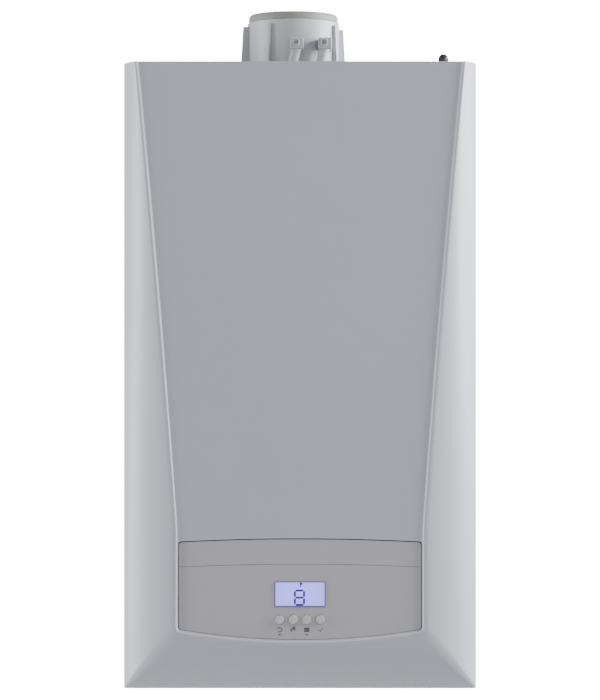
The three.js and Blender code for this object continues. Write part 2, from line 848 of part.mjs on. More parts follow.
// The fascia is a shallow tray whose ends roll back, split along the bowed seam into a strip and a main part.
function fasciaTray() {
  const front = frontY + fasciaFront;
  const back = front + fasciaThickness;
  const outer = slab(bandShape(bandGap), front, back);
  const hollow = slab(bandShape(bandGap + fasciaWall), front + fasciaWall + fasciaRoll, back + overrun);
  const reach = bandHalf - bandGap;
  const wedges = [-1, 1].map((side) => {
    const shape = new THREE.Shape();
    const start = side * (reach - fasciaRollWidth);
    const end = side * (reach + overrun);
    shape.moveTo(start, front - overrun);
    shape.lineTo(start, front);
    shape.quadraticCurveTo(start + side * fasciaRollWidth / 2, front, end, front + fasciaRoll * 2);
    shape.lineTo(end, front - overrun);
    return plinth(shape, 0, caseHeight, fine);
  });
  return cut(outer, hollow, ...wedges);
}

// Everything above the seam, from a little over it.
function aboveSeam(rise) {
  const shape = new THREE.Shape();
  const reach = bandHalf + overrun;
  const end = seamEnd + rise;
  shape.moveTo(-reach, end);
  shape.quadraticCurveTo(0, 2 * (seamMiddle + rise) - end, reach, end);
  shape.lineTo(reach, boxTop + overrun);
  shape.lineTo(-reach, boxTop + overrun);
  return slab(shape, frontY - overrun, -boxBack, fine);
}

function displayOpening(margin, front, back) {
  const w = displayWidth / 2 + margin;
  const h = displayHeight / 2 + margin;
  const corner = displayCorner + margin;
  return slab(roundedRectangle(-w, w, displayMiddle - h, displayMiddle + h, corner), front, back);
}

const buttonPlaces = [-1.5, -0.5, 0.5, 1.5].map((share) => share * buttonPitch);

function controlFascia(tray) {
  const front = frontY + fasciaFront;
  const behind = front + fasciaThickness + overrun;
  const bore = buttonRadius + buttonGap;
  const holes = buttonPlaces.map((x) => barY(bore, front - overrun, behind, x, buttonHeight));
  const window = displayOpening(seat, front - overrun, behind);
  return cut(tray, aboveSeam(-seamGap / 2), window, ...holes);
}

function controlBoxShell() {
  const outer = slab(roundedRectangle(-boxHalf, boxHalf, boxFoot, boxTop, bandCorner), -boxFront, -boxBack);
  const reach = boxHalf - boxWall;
  const hollow = roundedRectangle(-reach, reach, boxFoot + boxWall, boxTop - boxWall, bandCorner - boxWall);
  const inner = slab(hollow, -boxFront - overrun, overrun - boxBack);
  const arms = [-1, 1].map((side) => {
    const shape = new THREE.Shape();
    shape.moveTo(-hingeDepth - hingePinRadius, hingeHeight);
    shape.absarc(-hingeDepth, hingeHeight, hingePinRadius, Math.PI, 2 * Math.PI, false);
    shape.lineTo(-hingeDepth + hingeArm, boxFoot + boxWall);
    shape.lineTo(-hingeDepth - hingePinRadius, boxFoot + boxWall);
    const geometry = new THREE.ExtrudeGeometry(shape,
      { depth: boxWall, bevelEnabled: false, curveSegments: arcSteps });
    geometry.rotateX(Math.PI / 2).rotateZ(Math.PI / 2);
    const arm = solid(geometry.translate(side > 0 ? boxHalf - hingeArm - boxWall : hingeArm - boxHalf, 0, 0));
    const pinEnd = side * (boxHalf + bracketThickness);
    const pin = barX(hingePinRadius, side * (boxHalf - hingeArm), pinEnd, -hingeDepth, hingeHeight, fine);
    return join(arm, pin);
  });
  return join(cut(outer, inner), ...arms);
}

function rearLid() {
  const back = -boxBack;
  const inset = boxWall + seat;
  const plate = slab(roundedRectangle(inset - boxHalf, boxHalf - inset, boxFoot + inset, boxTop - inset,
    bandCorner - boxWall), back - boxWall, back);
  const middle = (boxFoot + boxTop) / 2;
  const posts = [];
  for (const side of [-1, 1]) {
    for (const up of [-1, 1]) {
      posts.push(barY(lidPostRadius, seat - boardDepth, back - boxWall / 2, side * lidPostReach,
        middle + up * lidPostRise, fine));
    }
  }
  return join(plate, ...posts);
}

function controlBoard() {
  const middle = (boxFoot + boxTop) / 2;
  const front = -boardDepth - boardThickness;
  const rise = boardHeight / 2;
  const plate = block(-boardHalf, boardHalf, front, -boardDepth, middle - rise, middle + rise);
  const screenBack = frontY + fasciaFront + displayRecess + displayThickness + seat;
  const w = displayWidth / 2 - displayCorner;
  const h = displayHeight / 2 - displayCorner;
  const screen = block(-w, w, screenBack, front + boardThickness / 2, displayMiddle - h, displayMiddle + h);
  const buttonBack = frontY + fasciaFront - buttonProud + buttonLength;
  const switches = buttonPlaces.map((x) => barY(switchRadius, buttonBack + buttonTravel + seat,
    front + boardThickness / 2, x, buttonHeight, fine));
  const chips = [-1, 1].map((side) => {
    const x = side * boardHalf / 2;
    const z = middle - chipSize / 2;
    return block(x, x + side * chipSize, front - chipRise, front + boardThickness / 2, z, z + chipSize);
  });
  const terminal = block(-terminalLength - boardHalf / 3, -boardHalf / 3, -boardDepth - boardThickness / 2,
    chipSize - boardDepth, middle + lidPostRise / 2, middle + lidPostRise / 2 + chipRise);
  return join(plate, screen, ...switches, ...chips, terminal);
}

function button(x) {
  const front = frontY + fasciaFront - buttonProud;
  const back = front + buttonLength;
  const inner = frontY + fasciaFront + fasciaWall + fasciaRoll + buttonTravel;
  const stem = barY(buttonRadius, front, back, x, buttonHeight);
  const collar = barY(buttonRadius + buttonCollar, inner, inner + collarThickness, x, buttonHeight);
  return join(stem, collar);
}

// An arm that stands on the floor panel and carries the control box by its pin.
function hingeBracket(side) {
  const foot = floorHeight + sheet / 2;
  const shape = new THREE.Shape();
  const nose = -hingeDepth - bracketNose;
  shape.moveTo(-bracketTail, foot);
  shape.lineTo(-bracketTail, foot + bracketHeight / 2);
  shape.lineTo(-chassisDepth, foot + bracketHeight);
  shape.lineTo(nose + bracketNose, foot + bracketHeight);
  shape.quadraticCurveTo(nose, foot + bracketHeight, nose, foot + bracketHeight - bracketNose);
  shape.lineTo(nose, hingeHeight - bracketNose);
  shape.lineTo(-chassisDepth - bracketNose, foot);
  const geometry = new THREE.ExtrudeGeometry(shape,
    { depth: bracketThickness, bevelEnabled: false, curveSegments: arcSteps });
  geometry.rotateX(Math.PI / 2).rotateZ(Math.PI / 2);
  const inner = boxHalf + seat;
  const plate = solid(geometry.translate(side > 0 ? inner : -inner - bracketThickness, 0, 0));
  const hole = barX(hingePinRadius + seat, side * (inner - overrun), side * (inner + overrun), -hingeDepth,
    hingeHeight, fine);
  return cut(plate, hole);
}

function addControls(root) {
  const tray = fasciaTray();
  addPiece(root, "fascia_strip", tray.intersect(aboveSeam(seamGap / 2)), finishes.silverTrim);
  addPiece(root, "control_fascia", controlFascia(tray), finishes.silverTrim);
  const windowFront = frontY + fasciaFront + displayRecess;
  const window = displayOpening(0, windowFront, windowFront + displayThickness);
  addPiece(root, "display_window", window, finishes.glass);
  buttonPlaces.forEach((x, i) => addPiece(root, `button_${i + 1}`, button(x), finishes.greige));
  addPiece(root, "control_box_shell", controlBoxShell(), finishes.darkPlastic);
  addPiece(root, "control_box_rear_lid", rearLid(), finishes.darkPlastic);
  addPiece(root, "control_board", controlBoard(), finishes.board);
}

// Around the flue axis, with heights from the roof.
const adaptorFoot = seat + gasketThickness + seat;

function adaptorFin(angle) {
  const inner = socketRadius - socketWall / 2;
  const shape = new THREE.Shape();
  shape.moveTo(inner, adaptorFoot);
  shape.lineTo(finFootRadius, adaptorFoot);
  shape.lineTo(finHeadRadius, finHeight);
  shape.lineTo(inner, finHeight);
  const geometry = new THREE.ExtrudeGeometry(shape, { depth: finThickness, bevelEnabled: false });
  geometry.rotateX(Math.PI / 2).translate(0, finThickness / 2, 0);
  return solid(geometry.rotateZ(angle - Math.PI / 2));
}

const portDepth = (x) => Math.sqrt(socketRadius ** 2 - x ** 2);

function testPort(x) {
  const front = -(socketRadius + portProud);
  const back = socketWall - portDepth(Math.abs(x) + portHead / 2);
  const head = block(x - portHead / 2, x + portHead / 2, front, back, portTop - portHead, portTop);
  const foot = [x - portLean, portStemRadius - adaptorFlange, adaptorFoot + adaptorFlangeThickness / 2];
  const lean = pipe([foot, [x, front + portHead / 2, portTop - portHead / 2]], portStemRadius);
  return join(head, lean);
}

const portBoreZ = portTop - portHead * 0.42;

function flueAdaptor() {
  const inner = socketRadius - socketWall;
  const socket = turned([[inner, adaptorFoot], [socketRadius, adaptorFoot], [socketRadius, socketHeight],
    [inner, socketHeight]]);
  const flangeHead = adaptorFoot + adaptorFlangeThickness;
  const flange = turned([[inner, adaptorFoot], [adaptorFlange, adaptorFoot], [adaptorFlange, flangeHead],
    [inner, flangeHead]]);
  const pieces = [socket, flange];
  const turn = THREE.MathUtils.degToRad(finTurn);
  for (let i = 1; i < finCount; i += 1) pieces.push(adaptorFin(turn + (2 * Math.PI * i) / finCount));
  const ringInner = fluePipeRadius + seat;
  const ring = turned([[ringInner, spiderRise], [ringInner + spiderRing, spiderRise],
    [ringInner + spiderRing, spiderRise + spiderHeight], [ringInner, spiderRise + spiderHeight]]);
  pieces.push(ring);
  for (let i = 0; i < spiderArms; i += 1) {
    const geometry = new THREE.BoxGeometry(inner - ringInner, spiderWeb, spiderHeight);
    geometry.translate((inner + ringInner + socketWall / 2) / 2, 0, spiderRise + spiderHeight / 2);
    pieces.push(solid(geometry.rotateZ(turn + (2 * Math.PI * (i + 0.5)) / spiderArms)));
  }
  portReaches.forEach((x) => pieces.push(testPort(x)));
  const bores = portReaches.map((x) => barY(portBore, -(socketRadius + portProud + overrun),
    -portDepth(Math.abs(x)) + socketWall + overrun, x, portBoreZ, fine));
  return cut(join(...pieces), ...bores);
}

function testPlug(x) {
  const front = -(socketRadius + portProud);
  const stem = barY(portBore - seat, front - seat, front + plugDepth, x, portBoreZ, fine);
  const head = barY(plugHeadRadius, front - seat - plugHeadThickness, front - seat, x, portBoreZ, fine);
  return join(stem, head);
}

function lipSeal() {
  const foot = socketHeight + seat;
  const head = foot + lipSealHeight;
  const inner = lipSealRadius - lipSealWall;
  const skirtOuter = socketRadius - socketWall - seat;
  const skirt = foot - lipSkirtHeight;
  return turned([[inner, head], [inner, skirt], [inner + lipSkirtWall, skirt],
    [skirtOuter, foot - lipSkirtHeight / 2], [skirtOuter, foot], [lipSealRadius, foot],
    [lipSealRadius, head]]);
}

function addFlue(root) {
  const flue = addGroup(root, flueX, -flueDepth, caseHeight);
  addPiece(flue, "flue_adaptor", flueAdaptor(), finishes.flueGrey);
  const inner = socketRadius - socketWall;
  const gasket = turned([[inner, seat], [inner + gasketWidth, seat],
    [inner + gasketWidth, seat + gasketThickness], [inner, seat + gasketThickness]]);
  addPiece(flue, "flue_gasket", gasket, finishes.foam);
  addPiece(flue, "flue_lip_seal", lipSeal(), finishes.olive);
  const foot = exchangerHeight + fluePipeFootRise - caseHeight;
  const bore = fluePipeRadius - fluePipeWall;
  const pipeWalls = turned([[bore, foot], [fluePipeRadius, foot], [fluePipeRadius, fluePipeHeadRise],
    [bore, fluePipeHeadRise]]);
  addPiece(flue, "flue_pipe", pipeWalls, finishes.whitePlastic);
  addPiece(flue, "flue_test_plug", testPlug(portReaches[0]), finishes.flueGrey);
  addPiece(flue, "air_test_plug", testPlug(portReaches[1]), finishes.flueGrey);
}

// Around the exchanger's centre line, which runs front to back at the flue's place.
function exchangerShell() {
  const outer = barY(exchangerRadius, -exchangerFront, -exchangerBack, 0, 0, wide);
  const rim = barY(exchangerRim, -exchangerFront, exchangerRimThickness - exchangerFront, 0, 0, wide);
  const bore = exchangerRadius - exchangerWall;
  const within = bore - exchangerWall;
  const floor = -exchangerBack - exchangerWall;
  const hollow = barY(bore, -exchangerFront - overrun, floor, 0, 0, wide);
  const flueRadius = fluePipeRadius + seat;
  const spigot = barZ(flueRadius + spigotWall, bore, spigotHeight, 0, -flueDepth, wide);
  const flueBore = barZ(flueRadius, within, spigotHeight + overrun, 0, -flueDepth, wide);
  const drainFoot = -exchangerRadius - drainLength;
  const drain = barZ(drainRadius, drainFoot, -bore, 0, -drainDepth, fine);
  const drainHole = barZ(drainBore, drainFoot - overrun, -within, 0, -drainDepth, fine);
  return cut(join(outer, rim, spigot, drain), hollow, flueBore, drainHole);
}

function exchangerCoil() {
  const coilStepsPerTurn = wide / 2;
  const centre = exchangerRadius - exchangerWall - seat - coilTube;
  const back = -(exchangerBack + exchangerWall + seat + coilTube);
  const run = exchangerFront - exchangerBack - exchangerWall - seat - 2.5 * coilTube;
  const rings = [];
  const steps = coilTurns * coilStepsPerTurn;
  for (let i = 0; i <= steps; i += 1) {
    const angle = (2 * Math.PI * i) / coilStepsPerTurn;
    const spoke = new THREE.Vector3(Math.cos(angle), 0, Math.sin(angle));
    const middle = spoke.clone().multiplyScalar(centre);
    middle.y = back - (run * i) / steps;
    const ring = [];
    for (let k = 0; k < coilSides; k += 1) {
      const turn = (2 * Math.PI * k) / coilSides;
      const point = middle.clone().addScaledVector(spoke, coilTube * Math.cos(turn));
      point.y += coilTube * Math.sin(turn);
      ring.push(point);
    }
    rings.push(ring);
  }
  return skin(rings);
}

// A tube that ends on the round shell runs into it by its far edge, and is then cut to a saddle.
function shellReach(height, tube) {
  return Math.sqrt(exchangerRadius ** 2 - (Math.abs(height) + tube) ** 2);
}

function saddled(tube, x, y, z) {
  return cut(tube, barY(exchangerRadius + seat, y - exchangerFront, y - exchangerBack, x, z, wide));
}

const doorBack = -(exchangerFront + seat);
const doorFront = doorBack - doorThickness;
const burnerFlangeFront = doorFront - seat - burnerFlangeThickness;

function burnerDoor() {
  const disc = barY(doorRadius, doorFront, doorBack, 0, 0, wide);
  const bolts = [];
  const reach = doorRadius - doorBoltInset;
  for (let i = 0; i < doorBoltCount; i += 1) {
    const angle = (2 * Math.PI * (i + 0.5)) / doorBoltCount;
    const x = reach * Math.cos(angle);
    const z = reach * Math.sin(angle);
    bolts.push(barY(doorBoltRadius, doorFront - doorBoltHead, doorFront + doorBoltHead, x, z, nutSides));
  }
  const before = doorFront - overrun;
  const behind = doorBack + overrun;
  const hole = barY(burnerRadius + seat, before, behind, 0, 0, middling);
  const electrodeHoles = [-1, 1].map((up) => {
    return barY(ceramicRadius + seat, before, behind, electrodeReach, up * electrodeRise, fine);
  });
  return cut(join(disc, ...bolts), hole, ...electrodeHoles);
}

function burnerTube() {
  const back = doorFront + burnerLength;
  const front = burnerFlangeFront;
  const tube = barY(burnerRadius, front, back, 0, 0, middling);
  const bore = barY(burnerRadius - burnerWall, front - overrun, back - burnerWall, 0, 0, middling);
  const flange = barY(burnerFlange, front, front + burnerFlangeThickness, 0, 0, middling);
  return cut(join(tube, flange), bore);
}

function electrode(up) {
  const z = up * electrodeRise;
  const front = doorFront - ceramicFront;
  const back = doorBack + ceramicBack;
  const ceramic = barY(ceramicRadius, front, back, electrodeReach, z, fine);
  const wire = barY(wireRadius, front - ceramicBack / 2, back + wireLength, electrodeReach, z, nutSides);
  return join(ceramic, wire);
}

function exchangerFrame() {
  const back = sheet + seat - chassisDepth + frameThickness;
  const reach = webInner - seat;
  const front = back - frameThickness;
  const rise = frameBarHeight / 2;
  const bar = block(-reach - flueX, reach - flueX, front, back, -rise, rise);
  const ring = barY(frameRing, front, back, 0, 0, wide);
  const hole = barY(exchangerRadius + seat, front - overrun, back + overrun, 0, 0, wide);
  return cut(join(bar, ring), hole);
}

function addExchanger(root) {
  const unit = addGroup(root, flueX, 0, exchangerHeight);
  addPiece(unit, "heat_exchanger_shell", exchangerShell(), finishes.aluminium);
  addPiece(unit, "heat_exchanger_coil", exchangerCoil(), finishes.stainless);
  addPiece(unit, "burner_door", burnerDoor(), finishes.aluminium);
  addPiece(unit, "burner_tube", burnerTube(), finishes.stainless);
  addPiece(unit, "spark_electrode", electrode(-1), finishes.ceramic);
  addPiece(unit, "flame_sensor", electrode(1), finishes.ceramic);
  addPiece(unit, "exchanger_frame", exchangerFrame(), finishes.zinc);
}

// Around the fan's shaft, which runs front to back.
function scrollOutline(margin) {
  const shape = new THREE.Shape();
  for (let i = 0; i <= scrollSteps; i += 1) {
    const share = i / scrollSteps;
    const angle = Math.PI - 2 * Math.PI * share * 0.75;
    const radius = scrollStart + (scrollEnd - scrollStart) * (1 - share) - margin;
    if (i === 0) shape.moveTo(radius * Math.cos(angle), radius * Math.sin(angle));
    else shape.lineTo(radius * Math.cos(angle), radius * Math.sin(angle));
  }
  return shape;
}

const outletX = -(scrollEnd - outletWidth / 2);

function fanVolute() {
  const body = slab(scrollOutline(0), -fanFront, -fanBack);
  const round = barY(scrollStart, -fanFront, -fanBack, 0, 0, wide);
  const outlet = block(outletX - outletWidth / 2, outletX + outletWidth / 2, outletInset - fanFront,
    -fanBack - outletInset, 0, outletHeight);
  const cavity = barY(fanCavity, fanWall - fanFront, -fanBack - fanWall, 0, 0, wide);
  const inlet = barY(inletRadius, -fanFront - overrun, -fanBack - fanWall, 0, 0, middling);
  const shaftHole = barY(shaftRadius + seat, -fanBack - fanWall - overrun, overrun - fanBack, 0, 0, fine);
  const wayOut = block(outletX - outletWidth / 2 + fanWall, outletX + outletWidth / 2 - fanWall,
    outletInset + fanWall - fanFront, -fanBack - outletInset - fanWall, 0, outletHeight + overrun);
  return cut(join(body, round, outlet), cavity, inlet, shaftHole, wayOut);
}

// Backward-curved blades between a back plate with a hub and an open eye.
function curvedBlade(innerRadius, outerRadius, sweep, thickness, y0, y1, angle) {
  const lean = THREE.MathUtils.degToRad(sweep);
  const start = new THREE.Vector2(innerRadius, 0);
  const end = new THREE.Vector2(outerRadius * Math.cos(lean), outerRadius * Math.sin(lean));
  const pull = new THREE.Vector2((innerRadius + outerRadius) / 2, 0);
  const shape = new THREE.Shape();
  shape.moveTo(start.x, start.y - thickness / 2);
  shape.quadraticCurveTo(pull.x, pull.y - thickness / 2, end.x, end.y - thickness / 2);
  shape.lineTo(end.x - thickness, end.y + thickness / 2);
  shape.quadraticCurveTo(pull.x - thickness, pull.y + thickness / 2, start.x, start.y + thickness / 2);
  return slab(shape, y0, y1, bladeSteps).rotate([0, THREE.MathUtils.radToDeg(angle), 0]);
}

function bladedWheel(radius, eye, back, width, count, sweep) {
  const front = back - width;
  const plate = barY(radius, back - impellerPlate, back, 0, 0, middling);
  const hub = barY(hubRadius, front + width / 3, back, 0, 0, fine);
  const blades = [];
  for (let i = 0; i < count; i += 1) {
    blades.push(curvedBlade(eye, radius, sweep, bladeThickness, front, back - impellerPlate / 2,
      (2 * Math.PI * i) / count));
  }
  const bore = barY(shaftRadius + seat, front - overrun, back + overrun, 0, 0, fine);
  return cut(join(plate, hub, ...blades), bore);
}

function fanMotor() {
  const front = seat - fanBack;
  const back = front + fanMotorLength;
  const can = barY(fanMotorRadius, front, back - fanMotorDome, 0, 0, middling);
  const dome = barY(fanMotorRadius - fanMotorDome, back - fanMotorDome * 2, back, 0, 0, middling);
  const shaft = barY(shaftRadius, -fanBack - fanWidth / 2 - impellerGap, front + fanMotorDome, 0, 0, fine);
  return join(can, dome, shaft);
}

function mixer() {
  const back = -(fanFront + seat);
  const body = barY(mixerRadius, back - mixerLength, back, 0, 0, middling);
  const throat = barY(mixerThroat, back - mixerLength / 2, back + overrun, 0, 0, middling);
  const side = -(fanFront + seat + mixerLength / 2);
  const airPort = barX(mixerThroat / 2, 0, mixerRadius + overrun, side, 0, fine);
  return cut(body, throat, airPort);
}

function airIntake() {
  const y = -(fanFront + seat + intakeRadius);
  const start = mixerRadius + seat;
  const route = [[start, y, 0], [intakeRun, y, 0], [intakeRun, y, intakeRise]];
  const tube = pipe(route, intakeRadius, intakeBend);
  const bore = pipe([[start - overrun, y, 0], [intakeRun, y, 0], [intakeRun, y, intakeRise + overrun]],
    intakeRadius - intakeWall, intakeBend);
  return cut(tube, bore);
}

// The duct lifts off the fan's outlet, leans forward past the burner door and ends in a hub on the burner.
function mixtureDuct() {
  const footZ = outletHeight + seat;
  const footY = -(fanBack + fanWidth / 2);
  const headZ = exchangerHeight - fanHeight;
  const headX = flueX - fanX;
  const path = new THREE.CatmullRomCurve3(ductRiseShares.map((share) => {
    const forward = Math.min(1, share / ductForwardShare);
    const over = Math.max(0, (share - ductUprightShare) / (1 - ductUprightShare));
    const x = outletX + (headX - outletX) * over * over;
    return new THREE.Vector3(x, footY - (ductDepth + footY) * forward, footZ + (headZ - footZ) * share);
  }));
  const rings = [];
  for (let i = 0; i <= ductSteps; i += 1) {
    const share = i / ductSteps;
    const middle = path.getPoint(share);
    const w = ductSectionWidth / 2;
    const d = ductSectionDepth / 2;
    const cw = w - d / 2;
    const cd = d / 2;
    const outline = [[w, -cd], [w, cd], [cw, d], [-cw, d], [-w, cd], [-w, -cd], [-cw, -d], [cw, -d]];
    rings.push(outline.map(([x, y]) => new THREE.Vector3(middle.x + x, middle.y + y, middle.z)));
  }
  const hubFront = -ductDepth - ductSectionDepth / 2;
  const hub = barY(ductHubRadius, hubFront, burnerFlangeFront - seat, headX, headZ, middling);
  return join(skin(rings), hub);
}

function gasValve() {
  const body = block(-valveWidth / 2, valveWidth / 2, -valveThickness / 2, valveThickness / 2, 0, valveBody);
  const cans = [-1, 1].map((side) => barZ(coilCanRadius, valveBody / 2, valveBody + coilCanHeight,
    side * coilCanReach, 0, middling));
  const inlet = barZ(valvePortRadius, -valvePortLength, valveBody / 2, 0, 0, fine);
  const outlet = barX(valvePortRadius, -valveWidth / 2 - valvePortLength, 0, 0, valveBody / 2, fine);
  return join(body, ...cans, inlet, outlet);
}

function addFan(root) {
  const fan = addGroup(root, fanX, 0, fanHeight);
  addPiece(fan, "fan_volute", fanVolute(), finishes.aluminium);
  addPiece(fan, "fan_motor", fanMotor(), finishes.black);
  const wheelBack = -fanBack - fanWall - impellerGap;
  const wheelWidth = fanWidth - 2 * fanWall - 2 * impellerGap;
  const wheel = bladedWheel(impellerRadius, impellerEye, wheelBack, wheelWidth, bladeCount, bladeSweep);
  addPiece(fan, "fan_impeller", wheel, finishes.darkPlastic);
  addPiece(fan, "gas_air_mixer", mixer(), finishes.aluminium);
  addPiece(fan, "air_intake_tube", airIntake(), finishes.darkPlastic);
  addPiece(fan, "mixture_duct", mixtureDuct(), finishes.aluminium);
  const valve = addGroup(root, valveX, -valveDepth, valveHeight);
  addPiece(valve, "gas_valve", gasValve(), finishes.aluminium);
  const mixerY = -(fanFront + seat + mixerLength / 2);
  const feedZ = valveHeight + valveBody / 2;
  const start = valveX - valveWidth / 2 - valvePortLength - seat;
  const low = fanHeight - mixerRadius - seat;
  const route = [[start, -valveDepth, feedZ], [start - gasTubeDrop, -valveDepth, feedZ],
    [fanX, mixerY, feedZ - gasTubeDrop], [fanX, mixerY, low]];
  addPiece(root, "gas_feed_pipe", pipe(route, gasTube), finishes.aluminium);
}

// A pipe of the row below: a stub with a union nut and an open end, up to a height.
function rowPipe({ x, y, radius }, head) {
  const stub = barZ(radius, pipeEnd, head, x, y, pipeSides);
  const nut = barZ(nutRadius, pipeEnd + nutHeight / 2, pipeEnd + nutHeight * 1.5, x, y, nutSides);
  const bore = barZ(radius - pipeWall, pipeEnd - overrun, pipeEnd + boreDepth, x, y, pipeSides);
  return cut(join(stub, nut), bore);
}

function gasSupply(place) {
  const turnZ = blockFoot;
  const head = valveHeight - valvePortLength - seat;
  const riser = pipe([[place.x, place.y, turnZ], [place.x, place.y, plateTop + pipeBend * 2],
    [valveX, -valveDepth, plateTop + pipeBend * 3], [valveX, -valveDepth, head]], place.radius, pipeBend);
  return join(rowPipe(place, turnZ + overrun), riser);
}

function plateExchanger() {
  const pitch = (plateTop - blockFoot) / plateCount;
  const plates = [];
  for (let i = 0; i < plateCount; i += 1) {
    const grow = i % 2 === 0 ? 0 : plateStep;
    const shape = roundedRectangle(plateLeft + grow, plateRight - grow, grow - plateFront, -grow - plateBack,
      plateCorner);
    const foot = blockFoot + i * pitch;
    plates.push(plinth(shape, i > 0 ? foot - seat / 2 : foot, foot + pitch, 1));
  }
  return join(...plates);
}

function diverterBody() {
  const trunk = barZ(diverterRadius, blockFoot, diverterTop, diverterX, -pipeDepth);
  const branch = barX(branchRadius, diverterX, plateLeft - seat, -pipeDepth, branchHeight, fine);
  const bore = barZ(diverterBore, branchHeight, diverterTop + overrun, diverterX, -pipeDepth);
  const inlet = barX(branchRadius, -riserReach, diverterX, -pipeDepth, riserInlet, fine);
  const bossFoot = riserInlet - branchRadius;
  const boss = barZ(riserBoss, bossFoot, riserInlet + riserBoss, -riserReach, -pipeDepth, middling);
  return cut(join(trunk, branch, inlet, boss), bore);
}

function diverterSpindle() {
  const rod = barZ(spindleRadius, spindleFoot, diverterTop + spindleHead, diverterX, -pipeDepth, fine);
  const disc = barZ(spindleDisc, spindleFoot, spindleFoot + spindleDiscThickness, diverterX, -pipeDepth);
  const top = diverterTop - spindleTravel - seat;
  const guide = barZ(diverterBore - seat, top - spindleDiscThickness, top, diverterX, -pipeDepth);
  return join(rod, disc, guide);
}

function diverterActuator() {
  const foot = diverterTop + seat;
  const [w, d] = [actuatorWidth / 2, actuatorDepth / 2];
  const shape = roundedRectangle(diverterX - w, diverterX + w, -pipeDepth - d, d - pipeDepth, actuatorDome);
  const body = plinth(shape, foot, foot + actuatorHeight, 2);
  const capHead = foot + actuatorHeight + actuatorDome;
  const cap = barZ(actuatorWidth / 3, foot + actuatorHeight / 2, capHead, diverterX, -pipeDepth);
  const socketHead = diverterTop + spindleHead + spindleTravel + seat;
  const socket = barZ(spindleRadius + seat, foot - overrun, socketHead, diverterX, -pipeDepth, fine);
  return cut(join(body, cap), socket);
}

function pumpHousing() {
  const body = barY(pumpRadius, -pumpFront, -pumpBack, pumpX, pumpHeight, wide);
  const middle = -(pumpFront + pumpBack) / 2;
  const inlet = barZ(pumpBossRadius, blockFoot, pumpHeight, pumpX, -pipeDepth);
  const outlet = barZ(pumpBossRadius, pumpHeight, pumpBossTop, pumpX, middle);
  const branch = barX(branchRadius, plateRight + seat, pumpX, -pipeDepth, branchHeight, fine);
  const reliefArm = barX(branchRadius / 2, pumpX, reliefX, -reliefDepth - reliefRadius, reliefHeight, fine);
  const reliefBody = barY(reliefRadius, -reliefDepth - reliefLength, -reliefDepth, reliefX, reliefHeight);
  const reliefOutlet = barZ(reliefRadius / 2, reliefHeight - reliefRadius * 3, reliefHeight, reliefX,
    -reliefDepth - reliefLength / 2, fine);
  const hoseBoss = barZ(flexTube * 1.25, pumpHeight, pumpHeight + pumpRadius, vesselPortX, hoseY, fine);
  const floor = -pumpBack - pumpWall;
  const cavity = barY(pumpRadius - pumpWall, -pumpFront - overrun, floor, pumpX, pumpHeight, wide);
  return cut(join(body, inlet, outlet, branch, hoseBoss, reliefArm, reliefBody, reliefOutlet), cavity);
}

function pumpMotor() {
  const back = -(pumpFront + seat);
  const front = back - pumpMotorLength;
  const body = barY(pumpMotorRadius, front, back, pumpX, pumpHeight, middling);
  const flange = barY(pumpRadius, back - pumpFinRise, back, pumpX, pumpHeight, wide);
  const fins = [];
  for (let i = 0; i < pumpFinCount; i += 1) {
    const geometry = new THREE.BoxGeometry(pumpFinRise * 2, pumpMotorLength / 2, pumpFin);
    geometry.translate(pumpMotorRadius, 0, 0).rotateY((2 * Math.PI * i) / pumpFinCount);
    fins.push(solid(geometry.translate(pumpX, back - pumpMotorLength / 2, pumpHeight)));
  }
  const shaftEnd = -pumpBack - pumpWall - impellerGap;
  const shaft = barY(shaftRadius, back - pumpFinRise, shaftEnd, pumpX, pumpHeight, fine);
  return join(body, flange, ...fins, shaft);
}

function knob(radius, length, lobes, lobeRadius) {
  const pieces = [barY(radius, -length, 0, 0, 0, middling)];
  for (let i = 0; i < lobes; i += 1) {
    const angle = (2 * Math.PI * i) / lobes;
    const x = radius * Math.cos(angle);
    const z = radius * Math.sin(angle);
    pieces.push(barY(lobeRadius, -length, -length / 3, x, z, nutSides));
  }
  return join(...pieces);
}

function addGauge(root) {
  const gauge = addGroup(root, gaugeX, -gaugeDepth, 0);
  const body = barZ(gaugeRadius, gaugeFoot, gaugeHead, 0, 0);
  const floorTop = floorHeight + sheet + seat;
  const rim = barZ(gaugeRadius + gaugeRim, floorTop, floorTop + gaugeRim, 0, 0);
  const recess = barZ(gaugeRadius - gaugeRim / 2, gaugeFoot - overrun, gaugeFoot + gaugeRecess, 0, 0);
  const pin = barZ(needlePin, gaugeFoot + gaugeRecess / 4, gaugeFoot + gaugeRecess + gaugeRim, 0, 0, fine);
  addPiece(gauge, "pressure_gauge", join(cut(join(body, rim), recess), pin), finishes.black);
  const needleFoot = gaugeFoot + gaugeRecess / 2;
  const reach = gaugeRadius - gaugeRim * 1.5;
  const shape = new THREE.Shape();
  shape.moveTo(-needleWidth, -needleHub * 2);
  shape.lineTo(needleWidth, -needleHub * 2);
  shape.lineTo(needleWidth / 4, reach);
  shape.lineTo(-needleWidth / 4, reach);
  const arm = plinth(shape, needleFoot, needleFoot + needleThickness);
  const hub = barZ(needleHub, needleFoot, needleFoot + needleThickness * 2, 0, 0, fine);
  const bore = barZ(needlePin + seat, needleFoot - overrun, needleFoot + overrun, 0, 0, fine);
  addPiece(gauge, "gauge_needle", cut(join(arm, hub), bore), finishes.red);
}

// The filling valve branches off the cold water pipe.
function coldSupply(place, head) {
  const trunk = barZ(fillRadius, fillFoot, fillHead, place.x, -fillDepth, fine);
  const arm = barY(waterPipe, -fillDepth, place.y, place.x, fillHead - fillRadius, fine);
  return join(rowPipe(place, head), trunk, arm);
}

